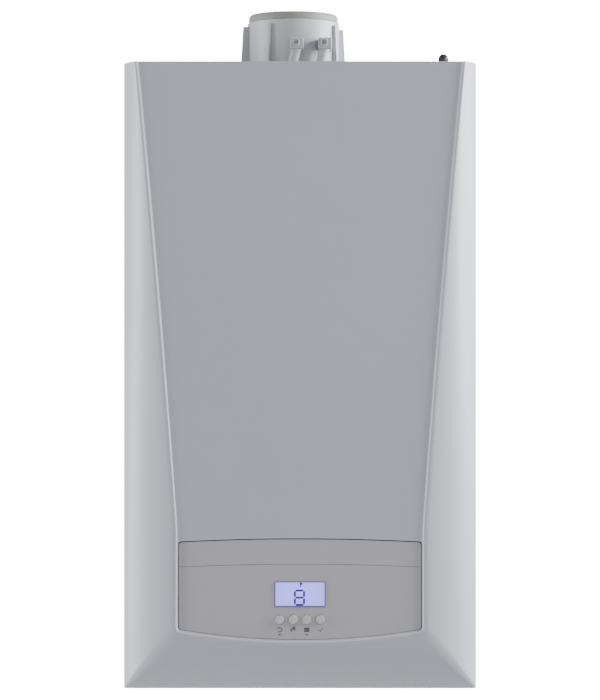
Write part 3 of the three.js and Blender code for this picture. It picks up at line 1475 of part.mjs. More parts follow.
function addFilling(root) {
  const valve = addGroup(root, pipePitch, -fillDepth, 0);
  const tap = knob(fillKnobRadius, fillKnobHeight, knobLobes, knobLobeRadius).rotate([90, 0, 0]);
  addPiece(valve, "filling_valve_knob", tap.translate([0, 0, fillFoot - seat]), finishes.blue);
}

function addRelief(root) {
  const relief = addGroup(root, reliefX, -reliefDepth, reliefHeight);
  const cap = knob(knobRadius, knobLength, knobLobes, knobLobeRadius);
  addPiece(relief, "relief_valve_knob", cap.translate([0, -reliefLength - seat, 0]), finishes.red);
}

function addWaterSide(root) {
  const stubHead = blockFoot - seat;
  for (const place of pipeRow) {
    const build = { gas_supply_pipe: gasSupply, cold_water_pipe: coldSupply }[place.name] ?? rowPipe;
    addPiece(root, place.name, build(place, stubHead), finishes.copper);
  }
  addPiece(root, "plate_heat_exchanger", plateExchanger(), finishes.stainless);
  addPiece(root, "diverter_valve_body", diverterBody(), finishes.brass);
  addPiece(root, "diverter_spindle", diverterSpindle(), finishes.stainless);
  addPiece(root, "diverter_actuator", diverterActuator(), finishes.darkPlastic);
  addPiece(root, "pump_housing", pumpHousing(), finishes.darkPlastic);
  addPiece(root, "pump_motor", pumpMotor(), finishes.zinc);
  const back = -pumpBack - pumpWall - impellerGap;
  const eye = hubRadius - bladeThickness;
  const wheel = bladedWheel(pumpImpellerRadius, eye, back, pumpImpellerWidth, pumpBladeCount, bladeSweep);
  addPiece(root, "pump_impeller", wheel.translate([pumpX, 0, pumpHeight]), finishes.whitePlastic);
  addRelief(root);
  addGauge(root);
  addFilling(root);
}

// Where the two main pipes meet the exchanger, left and right, at the height of the frame's lower edge.
function addRisers(root) {
  const exchangerY = -(exchangerBack + exchangerFront) / 2;
  const low = exchangerHeight - frameBarHeight;
  const across = shellReach(frameBarHeight, heatingPipe);
  const flow = pipe([[flueX - across, exchangerY, low], [-riserReach, exchangerY, low],
    [-riserReach, -pipeDepth, low - pipeBend * 3], [-riserReach, -pipeDepth, riserInlet + riserBoss + seat]],
  heatingPipe);
  addPiece(root, "exchanger_flow_pipe", saddled(flow, flueX, 0, exchangerHeight), finishes.copper);
  const pumpY = -(pumpFront + pumpBack) / 2;
  const back = pipe([[pumpX, pumpY, pumpBossTop + seat], [pumpX, pumpY, pumpBossTop + pipeBend * 2],
    [riserReach, pumpY, pumpBossTop + pipeBend * 4], [riserReach, exchangerY, low - pipeBend * 2],
    [riserReach, exchangerY, low], [flueX + across, exchangerY, low]], heatingPipe);
  addPiece(root, "exchanger_return_pipe", saddled(back, flueX, 0, exchangerHeight), finishes.copper);
}

function addCondensate(root) {
  const trap = addGroup(root, trapX, -trapDepth, 0);
  const waist = trapFoot + (trapHead - trapFoot) * trapWaistShare;
  const neck = trapRadius * trapNeckShare;
  const profile = [[0, trapFoot - trapOutlet], [trapOutlet, trapFoot - trapOutlet], [trapOutlet, trapFoot],
    [trapRadius, trapFoot + trapOutlet], [trapRadius, waist], [neck, waist + trapOutlet],
    [neck, trapHead - trapOutlet], [hoseRadius + hoseWall, trapHead], [0, trapHead]];
  addPiece(trap, "condensate_trap", turned(profile, middling), finishes.whitePlastic);
  const drainZ = exchangerHeight - exchangerRadius - drainLength - seat;
  const route = [[flueX, -drainDepth, drainZ], [flueX, -drainDepth, drainZ - hoseBend],
    [trapX, -trapDepth, trapHead + hoseBend * 2], [trapX, -trapDepth, trapHead + seat]];
  addPiece(root, "condensate_hose", pipe(route, hoseRadius, hoseBend), finishes.black);
}

function addVessel(root) {
  const back = -(sheet + seat);
  const shape = (grow) => {
    const reach = vesselHalf + grow;
    return roundedRectangle(-reach, reach, vesselFoot - grow, vesselHead + grow, vesselCorner + grow);
  };
  const crown = { depth: vesselThickness - 2 * vesselCrown, bevelEnabled: true, bevelThickness: vesselCrown,
    bevelSize: vesselCrown, bevelOffset: -vesselCrown, bevelSegments: 1, curveSegments: arcSteps };
  const geometry = new THREE.ExtrudeGeometry(shape(0), crown);
  const drum = solid(geometry.rotateX(Math.PI / 2).translate(0, back - vesselCrown, 0));
  const middle = back - vesselThickness / 2;
  const seam = slab(shape(vesselSeam), middle - vesselSeamThickness / 2, middle + vesselSeamThickness / 2);
  const portFoot = vesselFoot - vesselPortLength;
  const port = barZ(vesselPort, portFoot, vesselFoot + vesselCrown, vesselPortX, middle, fine);
  addPiece(root, "expansion_vessel", join(drum, seam, port), finishes.red);
  const portZ = portFoot - seat;
  const pumpTop = pumpHeight + pumpRadius;
  const route = [[vesselPortX, middle, portZ], [vesselPortX, middle, portZ - hoseBend],
    [vesselPortX, hoseY, pumpTop + hoseBend * 2], [vesselPortX, hoseY, pumpTop + seat]];
  addPiece(root, "expansion_hose", pipe(route, flexTube, hoseBend), finishes.black);
}

function addVent(root) {
  const vent = addGroup(root, ventX, -ventDepth, 0);
  const body = barZ(ventRadius, ventFoot, ventHead, 0, 0);
  const neck = barZ(ventNeck, ventHead - overrun, caseHeight + ventCapFoot + ventCapHeight / 2, 0, 0, fine);
  const exchangerTop = exchangerHeight + exchangerRadius / 2;
  const across = shellReach(exchangerRadius / 2, waterPipe) + flueX - ventX;
  const arm = pipe([[0, 0, ventFoot + overrun], [0, 0, exchangerTop], [across, 0, exchangerTop]], waterPipe);
  const saddle = saddled(arm, flueX - ventX, ventDepth, exchangerHeight);
  addPiece(vent, "air_vent", join(body, neck, saddle), finishes.brass);
  const foot = caseHeight + ventCapFoot;
  const head = foot + ventCapHeight;
  const cap = turned([[0, foot], [ventCapRadius, foot], [ventCapRadius, foot + ventCapHeight / 2],
    [ventCapTop, foot + ventCapHeight * 0.6], [ventCapTop, head - ventCapTop / 2], [ventCapTop / 2, head],
    [0, head]], middling);
  const boreHead = foot + ventCapHeight / 2 + seat;
  const bore = barZ(ventNeck + seat, foot - overrun, boreHead, 0, 0, fine);
  addPiece(vent, "air_vent_cap", cut(cap, bore), finishes.black);
}

const boiler = new THREE.Group();
addCasing(boiler);
addControls(boiler);
addFlue(boiler);
addExchanger(boiler);
addFan(boiler);
addWaterSide(boiler);
addRisers(boiler);
addCondensate(boiler);
addVessel(boiler);
addVent(boiler);
boiler.position.z = -caseHeight / 2;

const root = new THREE.Group();
root.add(boiler);

export default root;
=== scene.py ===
"""The looks of the wall-hung condensing boiler: finishes, smooth moulded shells and fine parts."""

import json
import math

import bmesh
import bpy
import numpy as np
from mathutils import Matrix, Vector


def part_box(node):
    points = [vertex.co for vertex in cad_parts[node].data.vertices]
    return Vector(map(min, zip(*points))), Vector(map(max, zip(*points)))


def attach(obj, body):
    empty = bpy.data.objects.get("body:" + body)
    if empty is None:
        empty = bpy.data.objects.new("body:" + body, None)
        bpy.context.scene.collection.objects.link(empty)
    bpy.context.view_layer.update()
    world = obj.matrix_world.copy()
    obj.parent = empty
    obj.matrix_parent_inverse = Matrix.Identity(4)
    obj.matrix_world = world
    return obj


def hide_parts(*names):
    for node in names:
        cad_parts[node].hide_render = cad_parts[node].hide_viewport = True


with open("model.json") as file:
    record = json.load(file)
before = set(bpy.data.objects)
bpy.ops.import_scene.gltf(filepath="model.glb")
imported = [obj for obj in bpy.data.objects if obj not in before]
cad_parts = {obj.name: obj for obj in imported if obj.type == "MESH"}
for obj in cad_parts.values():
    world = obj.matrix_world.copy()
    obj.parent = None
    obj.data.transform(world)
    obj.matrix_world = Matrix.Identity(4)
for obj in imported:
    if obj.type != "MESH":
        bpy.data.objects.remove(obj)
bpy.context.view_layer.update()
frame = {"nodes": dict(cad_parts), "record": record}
NODES = frame["nodes"]
BODY_OF = {node: body for body, nodes in frame["record"]["behaviour"]["bodies"].items() for node in nodes}
SLOT_OF = {part["node"]: part["material_slot"] for part in frame["record"]["subparts"]}

# The photograph's frame and view
IMAGE_HEIGHT = 700
CASING_MIDDLE_ROW = 376.3
FOCAL_PIXELS = 2942
SENSOR_MM = 36
CAMERA_DISTANCE = 3.3

# The casing, taken from the frame
COVER_LOW, COVER_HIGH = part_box("front_cover")
HALF = COVER_HIGH.x
FLOOR = COVER_LOW.z
ROOF = COVER_HIGH.z
HEIGHT = ROOF - FLOOR
FRONT = COVER_LOW.y
COVER_BACK = COVER_HIGH.y

# The front cover, with heights over the casing's foot
COVER_WALL = 0.002
COVER_EDGE_DEPTH = 0.034
PANEL_RECESS = 0.0018
PANEL_FACE = FRONT + PANEL_RECESS
PANEL_TOP_HALF = 0.1788
PANEL_FOOT_HALF = 0.1346
SURROUND_REACH = 0.0012
SURROUND_FADE = 0.012
MITRE_SWELL = 0.018
STEP_TOP_WIDTH = 0.004
STEP_FOOT_WIDTH = 0.0027
PANEL_BOW_SHARE = 0.17
ROLL_SHARE = 0.93
ROLL_LEAN_SHARE = 0.35
CREST_SHARE = 0.09
PANEL_CORNER = 0.004
OUTLINE_CORNER = 0.0025
OUTLINE_BEND = 0.12
BAND_HALF = 0.1353
BAND_TOP_END = 0.1664
BAND_TOP_MIDDLE = 0.17
BAND_FOOT_END = 0.0688
BAND_FOOT_MIDDLE = 0.0573
PANEL_FOOT_DROP = 0.0008
BAND_CORNER = 0.0035
BAND_TOP_GAP = 0.001
BAND_SIDE_GAP = 0.0007
BAND_FOOT_GAP = 0.0004
EDGE_ROUND = 0.0012

# The control band
WINDOW_LOW, WINDOW_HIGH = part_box("display_window")
SEAM_END = 0.138
SEAM_MIDDLE = 0.1413
SEAM_GAP = 0.0004
BAND_FACE = PANEL_FACE + 0.0006
FASCIA_WALL = 0.0026
FASCIA_ROLL = 0.0006
FASCIA_ROLL_WIDTH = 0.014
BUTTON_RADIUS = 0.005
BUTTON_EDGE = 0.0008
BUTTON_DOME = 0.0002
BUTTON_GAP = 0.0004
CUT_REACH = 0.01

# The signs and the lit screen
BUTTON_CENTRES = [(low + high) / 2 for low, high in (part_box(f"button_{n}") for n in range(1, 5))]
DISPLAY_DIGIT = Vector((0.0124, 0, 0.0182))
DIGIT_LINE = 0.0023
DIGIT_LEFT = -0.0006
DIGIT_FOOT = 0.0004
DIGIT_LIFT = 0.0012
FLAG_SHARE = 0.1
# Painted shade: how far inside the window's edges the lines of painted recess shade lie.
PAINTED_SHADE_MARGIN = Vector((0.0006, 0, 0.0006))
INK_RISE = 0.00012
SYMBOL_HEIGHT = 0.0683
SYMBOL_HALF = 0.0029
SYMBOL_LINE = 0.001
MARK_HEIGHT = 0.0631


def in_scene(name, data):
    """A new object for a mesh, camera or light, linked to the scene."""
    obj = bpy.data.objects.new(name, data)
    bpy.context.scene.collection.objects.link(obj)
    return obj


def mesh_object(name, vertices, faces):
    mesh = bpy.data.meshes.new(name)
    mesh.from_pydata([tuple(v) for v in vertices], [], faces)
    return in_scene(name, mesh)


def from_bmesh(name, bm):
    mesh = bpy.data.meshes.new(name)
    bm.to_mesh(mesh)
    bm.free()
    return in_scene(name, mesh)


def outward(obj, merge=1e-6):
    """Joins doubled points and turns every face to the outside."""
    bm = bmesh.new()
    bm.from_mesh(obj.data)
    bmesh.ops.remove_doubles(bm, verts=bm.verts, dist=merge)
    bmesh.ops.recalc_face_normals(bm, faces=bm.faces)
    bm.to_mesh(obj.data)
    bm.free()
    return obj


def evaluated(obj):
    """The object's mesh with its modifiers baked in."""
    return bpy.data.meshes.new_from_object(obj.evaluated_get(bpy.context.evaluated_depsgraph_get()))


def applied(obj):
    mesh, old = evaluated(obj), obj.data
    obj.modifiers.clear()
    obj.data = mesh
    if old.users == 0:
        bpy.data.meshes.remove(old)
    return obj


def softened(obj, width, segments=2, angle=30):
    """Rounds the edges that are sharper than the angle, in degrees."""
    bevel = obj.modifiers.new("edges", "BEVEL")
    bevel.width = width
    bevel.segments = segments
    bevel.limit_method = "ANGLE"
    bevel.angle_limit = math.radians(angle)
    bevel.use_clamp_overlap = True
    return applied(obj)


def shaded(obj, angle=32):
    """Smooth shading, broken at edges sharper than the angle, with the flat faces kept flat."""
    mesh = obj.data
    mesh.shade_smooth()
    bm = bmesh.new()
    bm.from_mesh(mesh)
    limit = math.radians(angle)
    for edge in bm.edges:
        edge.smooth = len(edge.link_faces) == 2 and edge.calc_face_angle(math.pi) < limit
    bm.to_mesh(mesh)
    bm.free()
    weights = obj.modifiers.new("weights", "WEIGHTED_NORMAL")
    weights.mode = "FACE_AREA"
    weights.weight = 60
    weights.keep_sharp = True
    return applied(obj)


def combined(obj, others, operation):
    """Joins other closed meshes to obj, or cuts them out of it, and removes them."""
    for other in others:
        modifier = obj.modifiers.new("cut", "BOOLEAN")
        modifier.operation = operation
        modifier.solver = "EXACT"
        modifier.object = other
        applied(obj)
        bpy.data.objects.remove(other)
    return obj


def fused(obj, *others):
    return combined(obj, others, "UNION")


def cut(obj, *others):
    return combined(obj, others, "DIFFERENCE")


def shifted(obj, place, angle=0.0, axis="Z"):
    """Turns a mesh about an axis through the origin, then moves it to a place."""
    obj.data.transform(Matrix.Translation(place) @ Matrix.Rotation(angle, 4, axis))
    return obj


def placed(obj, node):
    """Puts a piece on a node's body and slot, in its finish, and hides the node that it stands for."""
    obj.data.materials.clear()
    obj.data.materials.append(FINISHES[SLOT_OF[node]])
    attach(obj, BODY_OF[node])
    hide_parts(node)
    return obj


def added(obj, body, slot, material=None):
    """Puts a piece that stands for no node on a body."""
    obj.data.materials.clear()
    obj.data.materials.append(material or FINISHES[slot])
    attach(obj, body)
    return obj


def arc(x, y, radius, start, end, steps):
    """Points along an arc round a centre, from one angle to another in degrees, both ends included."""
    angles = [math.radians(start + (end - start) * i / steps) for i in range(steps + 1)]
    return [(x + radius * math.cos(angle), y + radius * math.sin(angle)) for angle in angles]


def rounded_outline(left, foot, right, head, corner, steps):
    """A rectangle with rounded corners, anticlockwise from its right side."""
    return (arc(right - corner, head - corner, corner, 0, 90, steps)
            + arc(left + corner, head - corner, corner, 90, 180, steps)
            + arc(left + corner, foot + corner, corner, 180, 270, steps)
            + arc(right - corner, foot + corner, corner, 270, 360, steps))


class Sum:
    """A value in a node tree, so that sums and products of values write their own Math nodes."""

    def __init__(self, nodes, socket):
        self.nodes = nodes
        self.socket = socket

    def combine(self, operation, first, second):
        outputs = self.nodes.add("ShaderNodeMath", {0: first, 1: second}, operation=operation)
        return Sum(self.nodes, outputs[0])

    def __add__(self, other):
        return self.combine("ADD", self, other)

    def __radd__(self, other):
        return self.combine("ADD", other, self)

    def __sub__(self, other):
        return self.combine("SUBTRACT", self, other)

    def __rsub__(self, other):
        return self.combine("SUBTRACT", other, self)

    def __mul__(self, other):
        return self.combine("MULTIPLY", self, other)

    def __rmul__(self, other):
        return self.combine("MULTIPLY", other, self)

    def __truediv__(self, other):
        return self.combine("DIVIDE", self, other)

    def __rtruediv__(self, other):
        return self.combine("DIVIDE", other, self)


class Nodes:
    """A node tree, with one method that adds any node."""

    def __init__(self, tree):
        self.tree = tree
        tree.nodes.clear()

    def add(self, kind, values=None, **settings):
        """Adds a node with its settings, then each input's value or link, and gives its outputs."""
        node = self.tree.nodes.new(kind)
        for name, value in settings.items():
            setattr(node, name, value)
        for key, value in (values or {}).items():
            if isinstance(value, Sum):
                value = value.socket
            if isinstance(value, bpy.types.NodeSocket):
                self.tree.links.new(value, node.inputs[key])
            else:
                node.inputs[key].default_value = value
        return node.outputs

    def value(self, kind, values, output, **settings):
        """One output of a new node, ready for sums."""
        return Sum(self, self.add(kind, values, **settings)[output])


class Finish(Nodes):
    """A material, and the patterns that it is mixed from."""

    def __init__(self, name):
        self.material = bpy.data.materials.new(name)
        self.material.use_nodes = True
        super().__init__(self.material.node_tree)

    def place(self, stretch=(1, 1, 1)):
        """Object coordinates, stretched along the axes."""
        coordinates = self.add("ShaderNodeTexCoord")["Object"]
        return self.add("ShaderNodeMapping", {"Vector": coordinates, "Scale": stretch})["Vector"]

    def noise(self, scale, detail=2.0, stretch=(1, 1, 1), roughness=0.5):
        values = {"Vector": self.place(stretch), "Scale": scale, "Detail": detail, "Roughness": roughness}
        return self.value("ShaderNodeTexNoise", values, "Fac")

    def cells(self, scale):
        return self.value("ShaderNodeTexVoronoi", {"Vector": self.place(), "Scale": scale}, "Color")

    def blend(self, first, second, factor):
        values = {0: factor, 6: (*first, 1), 7: (*second, 1)}
        return self.add("ShaderNodeMix", values, data_type="RGBA")[2]

    def swing(self, color, down, up, factor):
        """A colour that goes from a darker to a lighter share of itself."""
        return self.blend(tint(color, down), tint(color, up), factor)

    def bump(self, height, strength, distance):
        values = {"Height": height, "Strength": strength, "Distance": distance}
        return self.add("ShaderNodeBump", values)["Normal"]

    def surface(self, **values):
        named = {key.replace("_", " ").title(): value for key, value in values.items()}
        shader = self.add("ShaderNodeBsdfPrincipled", named)[0]
        self.add("ShaderNodeOutputMaterial", {"Surface": shader})
        return self.material


def tint(color, factor):
    return tuple(min(1, c * factor) for c in color)


def painted(name, color, roughness, peel=0.00001, coat=0.0, spread=0.035):
    """Sprayed paint: a slow drift of tone, a faint orange peel and a little uneven gloss."""
    finish = Finish(name)
    shade = finish.swing(color, 1 - spread, 1 + spread, finish.noise(7, 3))
    normal = finish.bump(finish.noise(650, 2), 0.35, peel)
    gloss = finish.noise(28, 4) * 0.08 + (roughness - 0.04)
    return finish.surface(base_color=shade, roughness=gloss, normal=normal, coat_weight=coat,
                          coat_roughness=0.3)


def moulded(name, color, roughness, grain=900, depth=0.00002, spread=0.05, sheen=0.0):
    """Moulded plastic: a fine spark-eroded grain with small swings of tone and gloss."""
    finish = Finish(name)
    shade = finish.swing(color, 1 - spread, 1 + spread, finish.noise(18, 3))
    normal = finish.bump(finish.noise(grain, 3, roughness=0.6), 0.5, depth)
    gloss = finish.noise(60, 3) * 0.1 + (roughness - 0.05)
    return finish.surface(base_color=shade, roughness=gloss, normal=normal, sheen_weight=sheen)


def drawn_metal(name, color, roughness, stretch=(1, 1, 14), depth=0.00002, tarnish=0.1):
    """Drawn, brushed or turned metal: long fine scratches and a patchy tarnish."""
    finish = Finish(name)
    lines = finish.noise(420, 2, stretch)
    patches = finish.noise(22, 4)
    shade = finish.swing(color, 1 - tarnish, 1 + tarnish / 2, patches)
    gloss = lines * 0.14 + patches * 0.12 + (roughness - 0.12)
    normal = finish.bump(lines, 0.3, depth)
    return finish.surface(base_color=shade, roughness=gloss, metallic=1.0, normal=normal)


def cast_metal(name, color, roughness, grain=260, depth=0.00012):
    """Die-cast metal: a sandy skin with soft dents."""
    finish = Finish(name)
    sand = finish.noise(grain, 5, roughness=0.62)
    dents = finish.noise(34, 3)
    shade = finish.swing(color, 0.86, 1.06, dents)
    normal = finish.bump(sand * 0.8 + dents * 0.2, 0.45, depth)
    return finish.surface(base_color=shade, roughness=sand * 0.2 + (roughness - 0.1), metallic=0.9,
                          normal=normal)


def zinc_sheet(name, color):
    """Galvanised sheet: flat crystals that differ a little in tone and gloss."""
    finish = Finish(name)
    crystals = finish.cells(95)
    fine = finish.noise(300, 3)
    shade = finish.swing(color, 0.88, 1.08, crystals)
    gloss = crystals * 0.18 + fine * 0.08 + 0.3
    normal = finish.bump(crystals * 0.6 + fine * 0.4, 0.2, 0.00003)
    return finish.surface(base_color=shade, roughness=gloss, metallic=0.85, normal=normal)


def rubbery(name, color, roughness, grain=420, depth=0.00008):
    """Rubber or closed-cell foam: dull, faintly dusty and pitted."""
    finish = Finish(name)
    dust = finish.noise(30, 5)
    shade = finish.swing(color, 1, 1.5, dust * 0.5)
    normal = finish.bump(finish.noise(grain, 4, roughness=0.7), 0.6, depth)
    return finish.surface(base_color=shade, roughness=dust * 0.12 + (roughness - 0.06), normal=normal)


def backlit(name):
    """The display: a lavender backlight under a clear window, its glow dimmed towards the edges as painted
    shade of the window's recess.
    """
    finish = Finish(name)
    middle, reach = (WINDOW_LOW + WINDOW_HIGH) / 2, (WINDOW_HIGH - WINDOW_LOW) / 2
    place = finish.add("ShaderNodeTexCoord")["Object"]
    offset = finish.add("ShaderNodeVectorMath", {0: place, 1: middle}, operation="SUBTRACT")[0]
    axes = finish.add("ShaderNodeSeparateXYZ", {0: offset})
    across = Sum(finish, axes["X"]) * (1 / reach.x)
    up = Sum(finish, axes["Z"]) * (1 / reach.z)
    # Painted shade: the glow dims towards the window's edges, standing in for the shadow of its recess.
    painted_edge_shade = across * across * across * across * 0.35 + up * up * up * up * 0.2
    specks = finish.noise(1500, 1) * 0.04
    glow = finish.blend((0.27, 0.255, 1.0), (0.16, 0.155, 0.6), painted_edge_shade + specks)
    return finish.surface(base_color=(0.12, 0.12, 0.2, 1), roughness=specks + 0.22, emission_color=glow,
                          emission_strength=2.3)


def build_finishes():
    return {
        "cover_coat": painted("cover_coat", (0.425, 0.43, 0.466), 0.44, coat=0.12, spread=0.015),
        "fascia_plastic": moulded("fascia_plastic", (0.4, 0.385, 0.41), 0.46, 1400, 0.00001, 0.02),
        "white_steel": painted("white_steel", (0.68, 0.685, 0.7), 0.5),
        "zinc_sheet": zinc_sheet("zinc_sheet", (0.58, 0.6, 0.61)),
        "flue_plastic": moulded("flue_plastic", (0.42, 0.43, 0.44), 0.42, 700, 0.00002, 0.06, 0.1),
        "olive_seal": rubbery("olive_seal", (0.2, 0.206, 0.178), 0.6),
        "white_plastic": moulded("white_plastic", (0.72, 0.72, 0.69), 0.45),
        "dark_plastic": moulded("dark_plastic", (0.04, 0.042, 0.047), 0.5, 700, 0.00005),
        "black_plastic": moulded("black_plastic", (0.012, 0.012, 0.013), 0.45, 800, 0.00003),
        "display": backlit("display"),
        "button_plastic": moulded("button_plastic", (0.5, 0.475, 0.45), 0.4, 1500, 0.00001),
        "circuit_board": moulded("circuit_board", (0.02, 0.16, 0.07), 0.35, 300, 0.00004),
        "cast_aluminium": cast_metal("cast_aluminium", (0.6, 0.61, 0.62), 0.48),
        "stainless": drawn_metal("stainless", (0.62, 0.63, 0.64), 0.34),
        "brass": drawn_metal("brass", (0.66, 0.49, 0.22), 0.36, (1, 1, 3)),
        "copper": drawn_metal("copper", (0.72, 0.37, 0.23), 0.34, (1, 1, 5), tarnish=0.2),
        "ceramic": moulded("ceramic", (0.8, 0.78, 0.7), 0.2, 500, 0.00001),
        "red_coat": painted("red_coat", (0.42, 0.022, 0.018), 0.34, 0.00003, 0.3, 0.06),
        "red_plastic": moulded("red_plastic", (0.5, 0.02, 0.016), 0.4),
        "blue_plastic": moulded("blue_plastic", (0.02, 0.1, 0.36), 0.4),
        "foam": rubbery("foam", (0.02, 0.02, 0.021), 0.85, 900, 0.0002),
        "black_rubber": rubbery("black_rubber", (0.016, 0.016, 0.016), 0.6),
    }


FINISHES = build_finishes()
INKS = {
    "lcd_blue": moulded("lcd_blue", (0.045, 0.032, 0.3), 0.4, 1200, 0.00001),
    # Painted shade: the slate ink of the lines round the display window, which stand for the shadow of its
    # recess.
    "painted_recess_slate": moulded("painted_recess_slate", (0.17, 0.165, 0.3), 0.45, 1200, 0.00001),
    "print_grey": moulded("print_grey", (0.1, 0.1, 0.11), 0.5, 1200, 0.00001),
}


def set_camera():
    data = bpy.data.cameras.new("view")
    data.sensor_fit = "AUTO"
    data.sensor_width = SENSOR_MM
    data.lens = FOCAL_PIXELS / IMAGE_HEIGHT * SENSOR_MM
    data.shift_y = (CASING_MIDDLE_ROW - IMAGE_HEIGHT / 2) / IMAGE_HEIGHT
    camera = in_scene("view", data)
    camera.location = (0, FRONT + COVER_EDGE_DEPTH - CAMERA_DISTANCE, (FLOOR + ROOF) / 2)
    camera.rotation_euler = (math.pi / 2, 0, 0)
    bpy.context.scene.camera = camera


def soft_box(name, place, width, height, power):
    """A tall, faintly cool area light that faces the casing."""
    data = bpy.data.lights.new(name, "AREA")
    data.shape = "RECTANGLE"
    data.size = width
    data.size_y = height
    data.energy = power
    data.color = (0.98, 0.99, 1.05)
    light = in_scene(name, data)
    light.location = place
    light.rotation_euler = (Vector((0, -0.2, 0)) - Vector(place)).to_track_quat("-Z", "Y").to_euler()


def set_light():
    """A white studio: even light all round and tall soft boxes at the sides, brighter on the right."""
    world = bpy.data.worlds.new("studio")
    bpy.context.scene.world = world
    world.use_nodes = True
    studio = Nodes(world.node_tree)
    rise = studio.add("ShaderNodeSeparateXYZ", {0: studio.add("ShaderNodeTexCoord")["Generated"]})["Z"]
    share = studio.add("ShaderNodeMapRange", {"Value": rise, "From Min": -1.0, "To Min": 0.0})[0]
    low, high = (1.12, 1.13, 1.16, 1), (1.25, 1.27, 1.33, 1)
    sky = studio.add("ShaderNodeMix", {0: share, 6: low, 7: high}, data_type="RGBA")[2]
    lighting = studio.add("ShaderNodeBackground", {"Color": sky, "Strength": 0.6})[0]
    seen = studio.add("ShaderNodeBackground", {"Color": (1, 1, 1, 1), "Strength": 16.0})[0]
    camera_ray = studio.add("ShaderNodeLightPath")["Is Camera Ray"]
    mixed = studio.add("ShaderNodeMixShader", {0: camera_ray, 1: lighting, 2: seen})[0]
    studio.add("ShaderNodeOutputWorld", {"Surface": mixed})
    soft_box("left_box", (-2.0, -0.4, 0.0), 0.7, 1.6, 58)
    soft_box("right_box", (2.0, -0.4, 0.6), 0.7, 1.5, 118)
    soft_box("right_back_box", (1.9, 0.6, 0.8), 0.5, 1.3, 50)


def set_floor():
    """A plain pale floor, well below the casing, that fades into the white of the studio."""
    reach, clear, drop = 9, 3, 2.6
    corners = [(x, y, FLOOR - drop)
               for x, y in ((-reach, -reach), (reach, -reach), (reach, reach), (-reach, reach))]
    floor = mesh_object("floor", corners, [(0, 1, 2, 3)])
    finish = Finish("floor")
    tone = finish.noise(3, 3)
    shade = finish.blend((0.8, 0.8, 0.8), (0.86, 0.86, 0.86), tone)
    place = finish.add("ShaderNodeTexCoord")["Object"]
    flat = finish.add("ShaderNodeVectorMath", {0: place, 1: (1, 1, 0)}, operation="MULTIPLY")[0]
    away = finish.add("ShaderNodeVectorMath", {0: flat}, operation="LENGTH")["Value"]
    fade = finish.add("ShaderNodeMapRange", {0: away, 1: clear, 2: reach, 3: 1.0, 4: 0.0},
                      interpolation_type="SMOOTHERSTEP")[0]
    floor.data.materials.append(finish.surface(base_color=shade, roughness=tone * 0.1 + 0.6, alpha=fade))


# The cover's lines, as heights over the casing's foot or distances from its middle
def panel_share(height):
    return max(0.0, (height - BAND_TOP_END) / (HEIGHT - BAND_TOP_END))


def panel_half(height):
    """Half the width of the sunk middle panel, which bows a little and is wider beside the band."""
    share = panel_share(height)
    bowed = share * (1 - PANEL_BOW_SHARE) + share * share * PANEL_BOW_SHARE
    beside_band = min(1, max(0, (BAND_TOP_END + SURROUND_FADE - height) / SURROUND_FADE))
    return PANEL_FOOT_HALF + (PANEL_TOP_HALF - PANEL_FOOT_HALF) * bowed + SURROUND_REACH * beside_band


def step_width(height):
    return STEP_FOOT_WIDTH + (STEP_TOP_WIDTH - STEP_FOOT_WIDTH) * panel_share(height)


def bow(x, middle, end):
    share = min(1, abs(x) / BAND_HALF)
    return middle + (end - middle) * share * share


def foot_bow(x):
    return bow(x, BAND_FOOT_MIDDLE, BAND_FOOT_END)


def top_bow(x):
    return bow(x, BAND_TOP_MIDDLE, BAND_TOP_END)


def seam_bow(x):
    return bow(x, SEAM_MIDDLE, SEAM_END)


def band_loop(steps=48, corner_steps=6):
    """The control opening's outline as X and height, anticlockwise from its foot's left end."""
    corner, inner = BAND_CORNER, BAND_HALF - BAND_CORNER
    foot, head = foot_bow(inner) + corner, top_bow(inner) - corner
    xs = [inner * (2 * i / steps - 1) for i in range(steps + 1)]
    return ([(x, foot_bow(x)) for x in xs]
            + arc(inner, foot, corner, -90, 0, corner_steps)[1:]
            + arc(inner, head, corner, 0, 90, corner_steps)[:-1]
            + [(x, top_bow(x)) for x in reversed(xs)]
            + arc(-inner, head, corner, 90, 180, corner_steps)[1:]
            + arc(-inner, foot, corner, 180, 270, corner_steps)[:-1])


